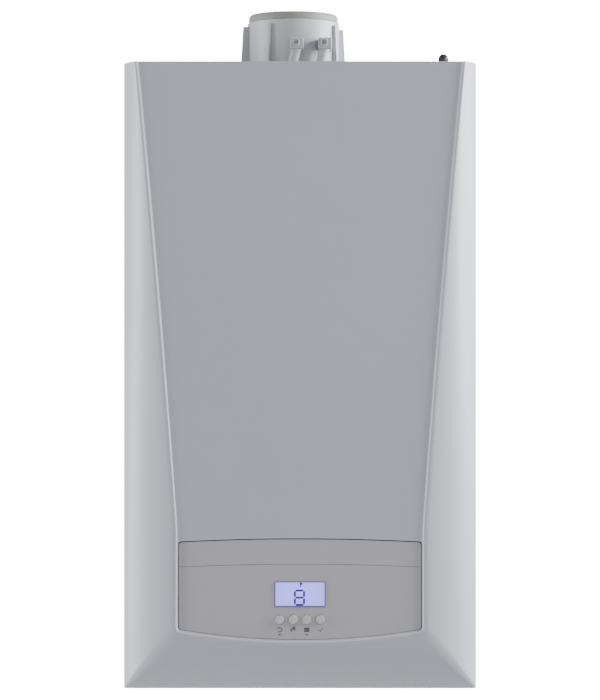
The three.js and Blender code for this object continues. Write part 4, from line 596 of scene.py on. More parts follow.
def cover_rim(rows=60, corner_steps=14, columns=30):
    """Matching points on the panel's edge, the foot of its step and the casing's outline, from the top left
    corner down, across and up to the top right corner, and the way that each moves where the mitre is
    rounder."""
    slope = math.atan(2 * (BAND_FOOT_END - BAND_FOOT_MIDDLE) / BAND_HALF)
    turn = math.pi / 2 - slope
    arc_x = PANEL_FOOT_HALF + SURROUND_REACH - PANEL_CORNER
    end_x = arc_x + PANEL_CORNER * math.cos(turn)
    arc_z = foot_bow(end_x) - PANEL_FOOT_DROP + PANEL_CORNER * math.sin(turn)
    step_corner = PANEL_CORNER + STEP_FOOT_WIDTH
    step_end = arc_x + step_corner * math.cos(turn)
    heights = [HEIGHT + (arc_z - HEIGHT) * i / rows for i in range(rows)]
    edge = [(-panel_half(z), z) for z in heights]
    step = [(-panel_half(z) - step_width(z), z) for z in heights]
    drop = (OUTLINE_BEND - OUTLINE_CORNER) / (OUTLINE_BEND - arc_z)
    outline = [(-HALF, z if z > OUTLINE_BEND else OUTLINE_CORNER + drop * (z - arc_z)) for z in heights]
    inward = [(0, 0)] * rows
    last = 180 + math.degrees(turn)
    edge += arc(-arc_x, arc_z, PANEL_CORNER, 180, last, corner_steps)
    step += arc(-arc_x, arc_z, step_corner, 180, last, corner_steps)
    outline += arc(OUTLINE_CORNER - HALF, OUTLINE_CORNER, OUTLINE_CORNER, 180, 270, corner_steps)
    inward += arc(1, 1, 1, 180, 270, corner_steps)
    mirror = len(edge)
    for share in [2 * i / columns - 1 for i in range(1, columns)]:
        x = end_x * share
        z = foot_bow(x) - PANEL_FOOT_DROP
        edge.append((x, z))
        step.append((step_end * share, z - STEP_FOOT_WIDTH * math.sin(turn + slope * (1 - abs(share)))))
        outline.append(((HALF - OUTLINE_CORNER) * share, 0.0))
        inward.append((0, 0))
    for points in (edge, step, outline, inward):
        points.extend([(-x, z) for x, z in reversed(points[:mirror])])
    return edge, step, outline, inward


def wing_roll(share):
    """How far back the wing has rolled, from its rounded crest at 0 to the casing's edge at 1."""
    circle = (1 - math.sqrt(1 - (ROLL_SHARE * share) ** 2)) / (1 - math.sqrt(1 - ROLL_SHARE ** 2))
    if share < CREST_SHARE:
        lean = share * share / (2 * CREST_SHARE)
    else:
        lean = share - CREST_SHARE / 2
    return ROLL_LEAN_SHARE * lean / (1 - CREST_SHARE / 2) + (1 - ROLL_LEAN_SHARE) * circle


def between(first, second, share):
    """Points part of the way from one outline to another."""
    return [(a + (c - a) * share, b + (d - b) * share) for (a, b), (c, d) in zip(first, second)]


def cover_rings(step_rings=8, crest_rings=5, roll_rings=20):
    """The cover's outlines and their Y: up the step, over the rolled wings and chin, and back along the
    returns."""
    edge, step, outline, inward = cover_rim()
    rings = [(edge, PANEL_FACE)]
    for i in range(1, step_rings + 1):
        share = i / step_rings
        rise = PANEL_RECESS * (1 - math.cos(math.pi * share)) / 2
        rings.append((between(edge, step, share), PANEL_FACE - rise))
    shares = [CREST_SHARE * i / crest_rings for i in range(1, crest_rings + 1)]
    shares += [1 - (1 - CREST_SHARE) * (1 - i / roll_rings) ** 1.25 for i in range(1, roll_rings + 1)]
    for share in shares:
        swell = MITRE_SWELL * math.sqrt(share) * (1 - share)
        pairs = zip(between(step, outline, share), inward)
        points = [(x + swell * dx, z + swell * dz) for (x, z), (dx, dz) in pairs]
        rings.append((points, FRONT + COVER_EDGE_DEPTH * wing_roll(share)))
    return rings + [(outline, COVER_BACK)]


def front_cover(head_steps=24):
    """One sheet over the sunk panel, the step, the rolled wings and chin and the returns, given its
    wall."""
    outlines = cover_rings()
    bm = bmesh.new()

    def vertex(x, y, z):
        return bm.verts.new((x, y, z + FLOOR))

    rings = [[vertex(x, y, z) for x, z in points] for points, y in outlines]
    for low, high in zip(rings, rings[1:]):
        for i in range(len(low) - 1):
            bm.faces.new((low[i], low[i + 1], high[i + 1], high[i]))
    (left, z), (right, _) = outlines[0][0][0], outlines[0][0][-1]
    head = [vertex(left + (right - left) * i / head_steps, PANEL_FACE, z) for i in range(1, head_steps)]
    hole = [vertex(x, PANEL_FACE, z) for x, z in band_loop()]
    edges = []
    for loop in (rings[0] + head[::-1], hole):
        for pair in zip(loop, loop[1:] + loop[:1]):
            edges.append(bm.edges.get(pair) or bm.edges.new(pair))
    bmesh.ops.triangle_fill(bm, use_beauty=True, use_dissolve=False, edges=edges, normal=(0, -1, 0))
    top = [ring[0] for ring in rings[-2::-1]] + head + [ring[-1] for ring in rings[:-1]]
    behind = [bm.verts.new((v.co.x, COVER_BACK, v.co.z)) for v in top[1:-1]]
    behind = [rings[-1][0], *behind, rings[-1][-1]]
    for i in range(len(top) - 1):
        bm.faces.new((top[i], top[i + 1], behind[i + 1], behind[i]))
    bmesh.ops.recalc_face_normals(bm, faces=bm.faces)
    if next(face for face in bm.faces if abs(face.normal.y) > 0.99).normal.y > 0:
        bmesh.ops.reverse_faces(bm, faces=bm.faces)
    cover = from_bmesh("front_cover_shell", bm)
    wall = cover.modifiers.new("wall", "SOLIDIFY")
    wall.thickness = COVER_WALL
    wall.offset = -1
    wall.use_even_offset = True
    softened(applied(cover), EDGE_ROUND, 3, 40)
    return placed(shaded(cover, 40), "front_cover")


def bowed_plate(name, lower, upper, reach, columns=96, rows=10):
    """A fascia plate between two curves on X, whose ends roll back."""
    xs = [reach * math.sin(math.pi / 2 * (2 * i / columns - 1)) for i in range(columns + 1)]
    vertices, faces = [], []
    for back in (False, True):
        for x in xs:
            over = max(0, abs(x) - (reach - FASCIA_ROLL_WIDTH)) / FASCIA_ROLL_WIDTH
            y = BAND_FACE + FASCIA_ROLL * over * over if not back else BAND_FACE + FASCIA_WALL * 2
            low, high = lower(x), upper(x)
            vertices += [(x, y, low + (high - low) * j / rows + FLOOR) for j in range(rows + 1)]
    count = rows + 1
    half = len(xs) * count
    for i in range(columns):
        a, b = i * count, (i + 1) * count
        for j in range(rows):
            faces.append((a + j, b + j, b + j + 1, a + j + 1))
            faces.append((half + a + j, half + a + j + 1, half + b + j + 1, half + b + j))
        faces.append((a, half + a, half + b, b))
        faces.append((a + rows, b + rows, half + b + rows, half + a + rows))
    for j in range(rows):
        a, b = j, columns * count + j
        faces.append((a, a + 1, half + a + 1, half + a))
        faces.append((b, half + b, half + b + 1, b + 1))
    return outward(mesh_object(name, vertices, faces))


def rounded_prism(name, low, high, corner, steps=6):
    """A block with rounded corners seen from the front."""
    outline = rounded_outline(low.x, low.z, high.x, high.z, corner, steps)
    return skinned(name, [[Vector((x, y, z)) for x, z in outline] for y in (low.y, high.y)])


def lathe(name, profile, centre=(0, 0, 0), axis="Z", steps=96):
    """A profile of radius and place along the axis Z or Y, turned round it. It closes on itself, or starts
    and ends on the axis."""
    vertices, faces, rings = [], [], []
    for radius, along in profile:
        count = steps if radius else 1
        rings.append(range(len(vertices), len(vertices) + count))
        for i in range(count):
            angle = 2 * math.pi * i / count
            vertices.append((radius * math.cos(angle), radius * math.sin(angle), along))
    following = rings[1:] + (rings[:1] if profile[0][0] else [])
    for first, second in zip(rings, following):
        for i in range(steps):
            j = (i + 1) % steps
            corners = (first[i % len(first)], second[i % len(second)], second[j % len(second)],
                       first[j % len(first)])
            face = tuple(dict.fromkeys(corners))
            if len(face) > 2:
                faces.append(face)
    obj = outward(mesh_object(name, vertices, faces))
    return shifted(obj, centre, -math.pi / 2 if axis == "Y" else 0.0, "X")


def control_band():
    """The upper strip and the main fascia, with the window and the four button holes cut out of it."""
    reach, corner = BAND_HALF - BAND_SIDE_GAP, BAND_CORNER
    inner = reach - corner

    def corner_rise(x):
        over = min(corner, max(0, abs(x) - inner))
        return corner - math.sqrt(corner * corner - over * over)

    def band_foot(x):
        return foot_bow(min(abs(x), inner)) + BAND_FOOT_GAP + corner_rise(x)

    def band_head(x):
        return top_bow(min(abs(x), inner)) - BAND_TOP_GAP - corner_rise(x)

    strip = bowed_plate("fascia_strip_plate", lambda x: seam_bow(x) + SEAM_GAP / 2, band_head, reach)
    softened(strip, 0.0004, 2, 35)
    placed(shaded(strip, 40), "fascia_strip")
    plate = bowed_plate("control_fascia_plate", band_foot, lambda x: seam_bow(x) - SEAM_GAP / 2, reach,
                        rows=14)
    reach_y = Vector((0, CUT_REACH, 0))
    cutters = [rounded_prism("window_cut", WINDOW_LOW - reach_y, WINDOW_HIGH + reach_y, 0.0018)]
    radius, front, back = BUTTON_RADIUS + BUTTON_GAP, BAND_FACE - CUT_REACH, BAND_FACE + 2 * CUT_REACH
    for middle in BUTTON_CENTRES:
        profile = [(0, front), (radius, front), (radius, back), (0, back)]
        cutters.append(lathe("button_cut", profile, (middle.x, 0, middle.z), "Y", 48))
    cut(plate, *cutters)
    softened(plate, 0.00035, 2, 50)
    placed(shaded(plate, 40), "control_fascia")


def front_buttons():
    """Four push buttons with gently domed faces and rounded edges."""
    flat = BUTTON_RADIUS - BUTTON_EDGE
    for number, middle in enumerate(BUTTON_CENTRES, 1):
        node = f"button_{number}"
        low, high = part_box(node)
        dome = [(flat * i / 5, low.y + BUTTON_DOME * (i / 5) ** 2) for i in range(5)]
        rim = arc(flat, low.y + BUTTON_DOME + BUTTON_EDGE, BUTTON_EDGE, -90, 0, 4)
        profile = [*dome, *rim, (BUTTON_RADIUS, high.y), (0, high.y)]
        cap = lathe(f"{node}_cap", profile, (middle.x, 0, middle.z), "Y", 48)
        placed(shaded(cap, 50), node)


def spot(x, depth, height):
    """A place by its distance from the middle, the wall and the casing's foot."""
    return Vector((x, -depth, FLOOR + height))


def joined(name, pieces):
    """One object from several closed meshes."""
    bm = bmesh.new()
    for piece in pieces:
        bm.from_mesh(piece.data)
        bpy.data.objects.remove(piece)
    return from_bmesh(name, bm)


def settled(node, name, pieces, angle=35):
    """Joins pieces into one, shades it and gives it the place of a node."""
    return placed(shaded(joined(name, pieces), angle), node)


def turned_to(obj, start, axis):
    """Turns a mesh built on Z so that it runs along an axis from a place."""
    turn = Vector(axis).to_track_quat("Z", "Y").to_matrix().to_4x4()
    obj.data.transform(Matrix.Translation(start) @ turn)
    return obj


def rounded_ends(radius, length, edge, steps=4):
    """The profile of a bar with rounded rims, for a lathe."""
    rims = arc(radius - edge, edge, edge, -90, 0, steps)
    rims += arc(radius - edge, length - edge, edge, 0, 90, steps)
    return [(0, 0), *rims, (0, length)]


def bar(name, start, end, radius, edge=0.0006, steps=48):
    run = end - start
    return turned_to(lathe(name, rounded_ends(radius, run.length, edge), steps=steps), start, run)


def upright(name, x, depth, foot, head, radius, edge=0.0006, steps=48):
    """A bar between two heights over the casing's foot."""
    return bar(name, spot(x, depth, foot), spot(x, depth, head), radius, edge, steps)


def bore(start, end, radius, steps=32):
    """A sharp-edged round cutter."""
    return bar("bore", start, end, radius, BORE_EDGE, steps)


def rounded_box(name, low, high, edge, segments=3):
    bm = bmesh.new()
    bmesh.ops.create_cube(bm, size=1)
    middle, size = (low + high) / 2, high - low
    for vertex in bm.verts:
        vertex.co = middle + Vector(a * b for a, b in zip(vertex.co, size))
    bmesh.ops.bevel(bm, geom=list(bm.edges), offset=edge, segments=segments, profile=0.5, affect="EDGES",
                    clamp_overlap=True)
    return from_bmesh(name, bm)


def skinned(name, rings, closed=False):
    """A skin over rings of equal count, with flat ends unless it closes on itself."""
    sides = len(rings[0])
    vertices = [point for ring in rings for point in ring]
    faces = []
    last = len(rings) if closed else len(rings) - 1
    for i in range(last):
        j = (i + 1) % len(rings)
        for k in range(sides):
            m = (k + 1) % sides
            faces.append((i * sides + k, i * sides + m, j * sides + m, j * sides + k))
    if not closed:
        faces.append(tuple(range(sides)))
        faces.append(tuple(range(len(vertices) - 1, len(vertices) - sides - 1, -1)))
    return outward(mesh_object(name, vertices, faces))


def lofted(name, outline, heights):
    """A block that carries an outline on X and Y from one height on Z to the next."""
    return skinned(name, [[Vector((x, y, z)) for x, y in outline] for z in heights])


def bent_route(points, bend, steps):
    """Centres and directions along straight runs joined by bends."""
    centres, start = [], points[0]
    for i in range(1, len(points) - 1):
        back, ahead = points[i - 1] - points[i], points[i + 1] - points[i]
        reach = min(bend, back.length / 2.05, ahead.length / 2.05)
        entry, leave = points[i] + back.normalized() * reach, points[i] + ahead.normalized() * reach
        centres.append(start)
        for k in range(steps + 1):
            t = k / steps
            centres.append(entry * (1 - t) ** 2 + points[i] * (2 * t * (1 - t)) + leave * t * t)
        start = leave
    centres += [start, points[-1]]
    kept = [centres[0]]
    for centre in centres[1:]:
        if (centre - kept[-1]).length > 1e-6:
            kept.append(centre)
    directions = []
    for i in range(len(kept)):
        before, after = kept[max(0, i - 1)], kept[min(len(kept) - 1, i + 1)]
        directions.append((after - before).normalized())
    directions[0] = (kept[1] - kept[0]).normalized()
    directions[-1] = (kept[-1] - kept[-2]).normalized()
    return kept, directions


def tube(name, points, radius, bend=0.022, hole=0.0, sides=32, steps=10, swell=None):
    """A round pipe along a route. With a hole its ends are open; swell changes the radius along it."""
    centres, directions = bent_route(points, bend, steps)
    if swell:
        centres, directions = refined_route(centres, directions, swell[0])
    side = Vector((1, 0, 0)) if abs(directions[0].x) < 0.7 else Vector((0, 1, 0))
    outer, inner = [], []
    for i, (centre, direction) in enumerate(zip(centres, directions)):
        side = (side - direction * side.dot(direction)).normalized()
        other = direction.cross(side)
        reach = radius * (1 + (swell[1] if swell and i % 4 in (1, 2) else 0))
        spokes = [side * math.cos(2 * math.pi * k / sides) + other * math.sin(2 * math.pi * k / sides)
                  for k in range(sides)]
        outer.append([centre + spoke * reach for spoke in spokes])
        inner.append([centre + spoke * hole for spoke in spokes])
    if hole:
        return skinned(name, outer + inner[::-1], closed=True)
    return skinned(name, outer)


def refined_route(centres, directions, pitch):
    """The same route with evenly spaced centres, for a hose with rings."""
    lengths = [0.0]
    for first, second in zip(centres, centres[1:]):
        lengths.append(lengths[-1] + (second - first).length)
    count = max(2, round(lengths[-1] / (pitch / 4)))
    places, ways = [], []
    for i in range(count + 1):
        at = lengths[-1] * i / count
        k = max(0, min(len(centres) - 2, int(np.searchsorted(lengths, at)) - 1))
        share = (at - lengths[k]) / (lengths[k + 1] - lengths[k])
        places.append(centres[k].lerp(centres[k + 1], share))
        ways.append(directions[k].lerp(directions[k + 1], share).normalized())
    return places, ways


def copy_of(node):
    """A merged copy of a CAD node's mesh, with its flat faces whole again."""
    mesh = NODES[node].data.copy()
    bm = bmesh.new()
    bm.from_mesh(mesh)
    bmesh.ops.remove_doubles(bm, verts=bm.verts, dist=1e-6)
    bmesh.ops.dissolve_limit(bm, angle_limit=math.radians(0.5), verts=bm.verts, edges=bm.edges)
    bm.to_mesh(mesh)
    bm.free()
    return in_scene(f"{node}_form", mesh)


def refined(node, width, angle=35, smooth=40, segments=2):
    """A CAD solid whose form is right, with the small radii that a press or a mould leaves on its edges."""
    obj = copy_of(node)
    softened(obj, width, segments, angle)
    return placed(shaded(obj, smooth), node)


def repeat_tree(name, on_ring):
    """A Geometry Nodes tree that sets copies of one form on the points of a mesh, or round a ring."""
    tree = bpy.data.node_groups.new(name, "GeometryNodeTree")
    for label, kind in REPEAT_INPUTS.items():
        tree.interface.new_socket(label, in_out="INPUT", socket_type=f"NodeSocket{kind}")
    tree.interface.new_socket("Geometry", in_out="OUTPUT", socket_type="NodeSocketGeometry")
    nodes = Nodes(tree)
    start = nodes.add("NodeGroupInput")
    form = nodes.add("GeometryNodeObjectInfo", {"Object": start["Form"]})["Geometry"]
    values = {"Instance": form, "Points": start["Geometry"]}
    if on_ring:
        circle = nodes.add("GeometryNodeMeshCircle", {"Vertices": start["Count"], "Radius": start["Radius"]})
        index = nodes.value("GeometryNodeInputIndex", {}, 0)
        angle = index * (2 * math.pi) / Sum(nodes, start["Count"])
        values["Points"] = circle["Mesh"]
        values["Rotation"] = nodes.add("ShaderNodeCombineXYZ", {"Z": angle})[0]
    copies = nodes.add("GeometryNodeInstanceOnPoints", values)[0]
    real = nodes.add("GeometryNodeRealizeInstances", {0: copies})[0]
    coat = nodes.add("GeometryNodeSetMaterial", {"Geometry": real, "Material": start["Finish"]})[0]
    nodes.add("NodeGroupOutput", {0: coat})
    return tree


BORE_EDGE = 0.0001
REPEAT_INPUTS = {"Geometry": "Geometry", "Form": "Object", "Finish": "Material", "Count": "Int",
                 "Radius": "Float"}
TREES = {"places": repeat_tree("set_on_places", False), "ring": repeat_tree("set_round_a_ring", True)}


def repeated(name, form, finish, places=(), count=0, radius=0.0):
    """Copies of a form at places, or a count of them round a ring on Z. The form itself is removed."""
    host = mesh_object(f"{name}_places", list(places) or [(0, 0, 0)], [])
    tree = TREES["places" if places else "ring"]
    modifier = host.modifiers.new("copies", "NODES")
    modifier.node_group = tree
    values = {"Form": form, "Finish": finish, "Count": count, "Radius": radius}
    for item in tree.interface.items_tree:
        if item.in_out == "INPUT" and item.name in values:
            modifier[item.identifier] = values[item.name]
    mesh = evaluated(host)
    bpy.data.objects.remove(host)
    bpy.data.objects.remove(form)
    return in_scene(name, mesh)


def screw_form(radius, rise, facing):
    """A pan-head screw with a cross recess, its seat at the origin."""
    wall = 0.35
    dome = [math.pi / 2 * i / 5 for i in range(1, 5)]
    profile = [(0, 0), (radius, 0), (radius, rise * wall)]
    profile += [(radius * math.cos(angle), rise * (wall + (1 - wall) * math.sin(angle))) for angle in dome]
    head = lathe("screw", [*profile, (0, rise)], steps=20)
    reach, slot = radius * 0.55, radius * 0.14
    for x, y in ((reach, slot), (slot, reach)):
        low, high = Vector((-x, -y, rise * 0.45)), Vector((x, y, rise * 2))
        cut(head, rounded_box("slot", low, high, slot / 4, 1))
    return shaded(turned_to(head, Vector((0, 0, 0)), facing), 35)


def hex_nut(name, start, end, radius, bore_radius=0.0):
    """A union nut or bolt head: six flats under turned chamfers."""
    length = (end - start).length
    nut = lofted(name, arc(0, 0, radius, 0, 300, 5), (0, length))
    flat = radius * math.cos(math.pi / 6)
    drop = (radius - flat) * 0.9
    rim = flat * 0.98
    profile = [(0, 0), (rim, 0), (radius, drop), (radius, length - drop), (rim, length), (0, length)]
    combined(nut, [lathe("chamfer", profile, steps=60)], "INTERSECT")
    if bore_radius:
        cut(nut, lathe("bore", rounded_ends(bore_radius, length * 3, BORE_EDGE), (0, 0, -length), steps=48))
    return turned_to(nut, start, end - start)


def screws(name, places, body, slot, radius=0.0036, facing=(0, -1, 0), rise=0.0022):
    """Cross-head screws at places on one face."""
    copies = repeated(name, screw_form(radius, rise, facing), FINISHES[slot], places=places)
    return added(shaded(copies, 35), body, slot)


def flat_form(name, outline, face, rise=INK_RISE, depth=0.0003):
    """A flat mark with an outline on X and Z, standing a little proud of a face."""
    return skinned(name, [[Vector((x, y, z)) for x, z in outline] for y in (face - rise, face + depth)])


def stroke(name, points, width, face, rise=INK_RISE):
    """A line of even width through points on X and Z, drawn as a flat mark."""
    left, right = [], []
    for i, (x, z) in enumerate(points):
        before, after = points[max(0, i - 1)], points[min(len(points) - 1, i + 1)]
        way = Vector((after[0] - before[0], after[1] - before[1])).normalized()
        left.append((x - way.y * width / 2, z + way.x * width / 2))
        right.append((x + way.y * width / 2, z - way.x * width / 2))
    return flat_form(name, left + right[::-1], face, rise)


def segment(x0, z0, x1, z1, width, face):
    """One bar of the digit with pointed ends."""
    way = Vector((x1 - x0, z1 - z0)).normalized() * width / 2
    side = Vector((-way.y, way.x))
    first, second = Vector((x0, z0)), Vector((x1, z1))
    outline = [first - way * 0.8, first + way * 0.2 + side, second - way * 0.2 + side, second + way * 0.8,
               second - way * 0.2 - side, first + way * 0.2 - side]
    return flat_form("segment", outline, face)


def digit(face):
    """The lit digit's seven bars."""
    half_x, half_z = DISPLAY_DIGIT.x / 2 - DIGIT_LINE / 2, DISPLAY_DIGIT.z / 2 - DIGIT_LINE / 2
    middle = WINDOW_LOW.z + DIGIT_FOOT + DISPLAY_DIGIT.z / 2 + DIGIT_LIFT
    pull = DIGIT_LINE * 0.55
    pieces = []
    for z in (middle - half_z, middle, middle + half_z):
        left, right = DIGIT_LEFT - half_x + pull, DIGIT_LEFT + half_x - pull
        pieces.append(segment(left, z, right, z, DIGIT_LINE, face))
    for x in (DIGIT_LEFT - half_x, DIGIT_LEFT + half_x):
        for low, high in ((middle - half_z, middle), (middle, middle + half_z)):
            pieces.append(segment(x, low + pull, x, high - pull, DIGIT_LINE, face))
    return pieces


def display():
    """The window, the lit screen's digit and flag, and dark lines round it that are painted shade of the
    window's recess and bevel.
    """
    window = rounded_prism("display_window_glass", WINDOW_LOW, WINDOW_HIGH, 0.0015)
    softened(window, 0.0003, 2, 40)
    placed(shaded(window, 40), "display_window")
    face, top = WINDOW_LOW.y, WINDOW_HIGH.z
    pieces, x = digit(face), DIGIT_LEFT + FLAG_SHARE * (DISPLAY_DIGIT.x - DIGIT_LINE)
    left, right = x - 0.0006, x + 0.0006
    pole = [(left, top - 0.0062), (right, top - 0.0062), (right, top - 0.0012), (left, top - 0.0012)]
    pieces.append(flat_form("bar_mark", pole, face))
    pieces.append(flat_form("flag_mark",
                            [(right, top - 0.0042), (x + 0.0034, top - 0.0028), (right, top - 0.0012)], face))
    added(joined("display_segments", pieces), "control_box", "display", INKS["lcd_blue"])
    # Painted shade: dark slate lines along the window's edges stand for the shadow of its recess and bevel.
    low, high = WINDOW_LOW + PAINTED_SHADE_MARGIN, WINDOW_HIGH - PAINTED_SHADE_MARGIN
    sides = []
    for z, width in ((high.z, 0.0013), (low.z + 0.0003, 0.0018)):
        sides.append(stroke("frame_bar", [(low.x, z), (high.x, z)], width, face))
    for x in (low.x, high.x):
        sides.append(stroke("frame_bar", [(x, low.z), (x, high.z)], 0.0014, face, INK_RISE * 0.8))
    added(joined("display_frame", sides), "control_box", "display", INKS["painted_recess_slate"])


def symbols():
    """Generic signs under the buttons: back, tap, heating and confirm."""
    reach, line, face, middle = SYMBOL_HALF, SYMBOL_LINE, BAND_FACE, FLOOR + SYMBOL_HEIGHT
    pieces = []

    def draw(button, shares, width=line, height=middle):
        """A line through shares of the sign's half size, round the middle of its button."""
        points = [(BUTTON_CENTRES[button].x + reach * x, height + reach * z) for x, z in shares]
        pieces.append(stroke("sign_line", points, width, face))
        return points[0]

    turn = np.linspace(math.radians(130), math.radians(-140), 14)
    x, z = draw(0, [(0.8 * math.cos(a), 0.8 * math.sin(a)) for a in turn])
    tip = [(x - 0.0013, z - 0.0001), (x + 0.0003, z + 0.0012), (x + 0.0004, z - 0.0009)]
    pieces.append(flat_form("back_tip", tip, face))
    draw(1, [(1, 0.3), (-0.5, 0.3), (-0.8, 0), (-0.8, -0.7)], line * 1.5)
    draw(1, [(0.2, 0.3), (0.2, 1)])
    draw(1, [(-0.5, 1), (0.9, 1)])
    for share in (-0.75, -0.25, 0.25, 0.75):
        draw(2, [(share, -0.8), (share, 0.8)])
    for share in (-0.45, 0.45):
        draw(2, [(-1, share), (1, share)])
    draw(3, [(-0.8, 0), (-0.2, -0.6), (1, 0.7)])
    for button in (0, 2):
        for shares in ([(-0.5, 0), (0.5, 0)], [(0, -0.25), (0, 0.25)]):
            draw(button, shares, height=FLOOR + MARK_HEIGHT)
    added(joined("button_signs", pieces), "control_box", "fascia_plastic", INKS["print_grey"])


SEAT = 0.0003
SHEET = 0.0015
FLUE_X = -0.0077
FLUE_DEPTH = 0.13
FLUE_CENTRE = Vector((FLUE_X, -FLUE_DEPTH, ROOF))
SOCKET_RADIUS = 0.053
SOCKET_WALL = 0.0025
SOCKET_HEIGHT = 0.0592
ADAPTOR_FOOT = 0.003
ADAPTOR_FLANGE = 0.0615
FLANGE_SCREWS = 0.0572
SIDE_FINS = (2, 6)
SIDE_FIN_REACH = (0.063, 0.06)
FIN_REACH = (0.0588, 0.0566)
FIN_HEIGHT = 0.054
FIN_THICKNESS = 0.003
FIN_TURN = 15
FLUE_RADIUS = 0.032
SPIDER_FOOT, SPIDER_HEAD = 0.009, 0.015
PORT_REACHES = {"flue_test_plug": 0.003, "air_test_plug": 0.035}
PORT_HEAD = 0.013
PORT_LUG = 0.0025
PORT_STEM = 0.0058
PORT_TOP = 0.036
PORT_FRONT = 0.065
PORT_BORE_HEIGHT = PORT_TOP - PORT_HEAD * 0.42


def at_flue(x, y, z):
    return FLUE_CENTRE + Vector((x, y, z))


def around_flue(profile, name, steps=128):
    return lathe(name, profile, FLUE_CENTRE, steps=steps)


def flue_adaptor():
    """The roof adaptor: socket with a rolled rim, flange, fins, spider and two test ports."""
    inner, foot, head = SOCKET_RADIUS - SOCKET_WALL, ADAPTOR_FOOT, SOCKET_HEIGHT
    root, flange, edge = inner + 0.001, foot + 0.003, 0.0006
    pieces = [around_flue([(inner, foot), (ADAPTOR_FLANGE - edge, foot), (ADAPTOR_FLANGE, foot + edge),
                           (ADAPTOR_FLANGE, flange - edge), (ADAPTOR_FLANGE - edge, flange),
                           (SOCKET_RADIUS + 0.0018, flange), (SOCKET_RADIUS + 0.0004, flange + 0.0006),
                           (SOCKET_RADIUS, flange + 0.002), (SOCKET_RADIUS, head - 0.0008),
                           (SOCKET_RADIUS - 0.0007, head - 0.0001), (inner + 0.0007, head),
                           (inner, head - 0.0008)],
                          "socket")]
    for i in range(1, 8):
        fin_foot, fin_head = SIDE_FIN_REACH if i in SIDE_FINS else FIN_REACH
        outline = [(root, foot), (fin_foot, foot), (fin_head, FIN_HEIGHT), (root, FIN_HEIGHT)]
        rings = [[Vector((r, y, z)) for r, z in outline] for y in (-FIN_THICKNESS / 2, FIN_THICKNESS / 2)]
        fin = softened(skinned("fin", rings), 0.0008, 3, 30)
        pieces.append(shifted(fin, FLUE_CENTRE, math.radians(FIN_TURN + 45 * i - 90)))
    hub = FLUE_RADIUS + SEAT
    ring = [(hub, SPIDER_FOOT), (hub + 0.0022, SPIDER_FOOT), (hub + 0.0022, SPIDER_HEAD), (hub, SPIDER_HEAD)]
    pieces.append(around_flue(ring, "spider"))
    for i in range(4):
        low, high = Vector((hub + 0.001, -0.0012, SPIDER_FOOT)), Vector((root, 0.0012, SPIDER_HEAD))
        arm = rounded_box("spider_arm", low, high, 0.0004, 2)
        pieces.append(shifted(arm, FLUE_CENTRE, math.radians(FIN_TURN + 90 * (i + 0.5))))
    pieces += [test_port(x) for x in PORT_REACHES.values()]
    settled("flue_adaptor", "flue_adaptor_moulding", pieces)


def test_port(x):
    """One sampling point: a square head on a leaning stem, bored from the front."""
    half = PORT_HEAD / 2
    back = math.sqrt(SOCKET_RADIUS ** 2 - (abs(x) + half) ** 2) - SOCKET_WALL
    head = rounded_box("port_head", at_flue(x - half, -PORT_FRONT, PORT_TOP - PORT_HEAD),
                       at_flue(x + half + PORT_LUG, -back, PORT_TOP), 0.0012, 3)
    route = [at_flue(x - 0.0045, -0.0571, 0.0045), at_flue(x + 0.002, half - PORT_FRONT, PORT_TOP - half)]
    fused(head, tube("port_stem", route, PORT_STEM, sides=32))
    front = at_flue(x, -PORT_FRONT - 0.003, PORT_BORE_HEIGHT)
    return cut(head, bore(front, front + Vector((0, 0.014, 0)), 0.0033))


def test_plug(node):
    """A push-in plug with a domed head and a dark blind hole to grip it by."""
    low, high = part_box(node)
    head, stem, thickness, dimple = (high.x - low.x) / 2, 0.003, 0.0016, 0.0026
    profile = [(0, 0.0028), (dimple - 0.0003, 0.0028), (dimple, 0.0011), (dimple + 0.0002, 0.0002),
               (dimple + 0.0008, 0), (head - 0.0009, 0), (head - 0.0002, 0.0003), (head, 0.0009),
               (head, thickness), (stem, thickness)]
    for i in range(3):
        along = thickness + 0.002 + i * 0.0024
        profile += [(stem - 0.0002, along), (stem, along + 0.0008), (stem - 0.0004, along + 0.0012)]
    profile += [(stem - 0.0008, high.y - low.y), (0, high.y - low.y)]
    centre = at_flue(PORT_REACHES[node], 0, PORT_BORE_HEIGHT)
    plug = lathe(f"{node}_moulding", profile, (centre.x, low.y, centre.z), "Y", 48)
    placed(shaded(plug, 45), node)


def lip_seal():
    """The rubber lip at the rim, with two wiping lips inside."""
    inner, outer, neck, wipe = 0.0484, 0.0518, 0.0502, 0.0472
    foot = SOCKET_HEIGHT + SEAT
    head, skirt = foot + 0.0086, foot - 0.008
    profile = [(inner + 0.0006, head), (inner, head - 0.0008)]
    for low in (head - 0.0026, head - 0.0066):
        profile += [(inner, low), (wipe, low - 0.0008), (wipe, low - 0.0013), (inner, low - 0.0016)]
    profile += [(inner, skirt), (inner + 0.0016, skirt), (neck, foot - 0.004), (neck, foot), (outer, foot),
                (outer, head - 0.005), (outer - 0.0006, head - 0.0026), (outer - 0.0014, head - 0.0009),
                (outer - 0.0024, head)]
    placed(shaded(around_flue(profile, "flue_lip_seal_ring"), 50), "flue_lip_seal")


def flue_pipe():
    """The inner flue pipe, with a rolled rim and a bead."""
    low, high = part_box("flue_pipe")
    foot, head = low.z - ROOF, high.z - ROOF
    inner, edge = FLUE_RADIUS - 0.002, 0.0007
    bead = inner - 0.0008
    profile = [(inner, foot), (FLUE_RADIUS, foot), (FLUE_RADIUS, head - edge), (FLUE_RADIUS - 0.0006, head),
               (inner + 0.0006, head), (inner, head - edge), (inner, head - 0.014), (bead, head - 0.0155),
               (bead, head - 0.0185), (inner, head - 0.02)]
    placed(shaded(around_flue(profile, "flue_pipe_tube"), 50), "flue_pipe")


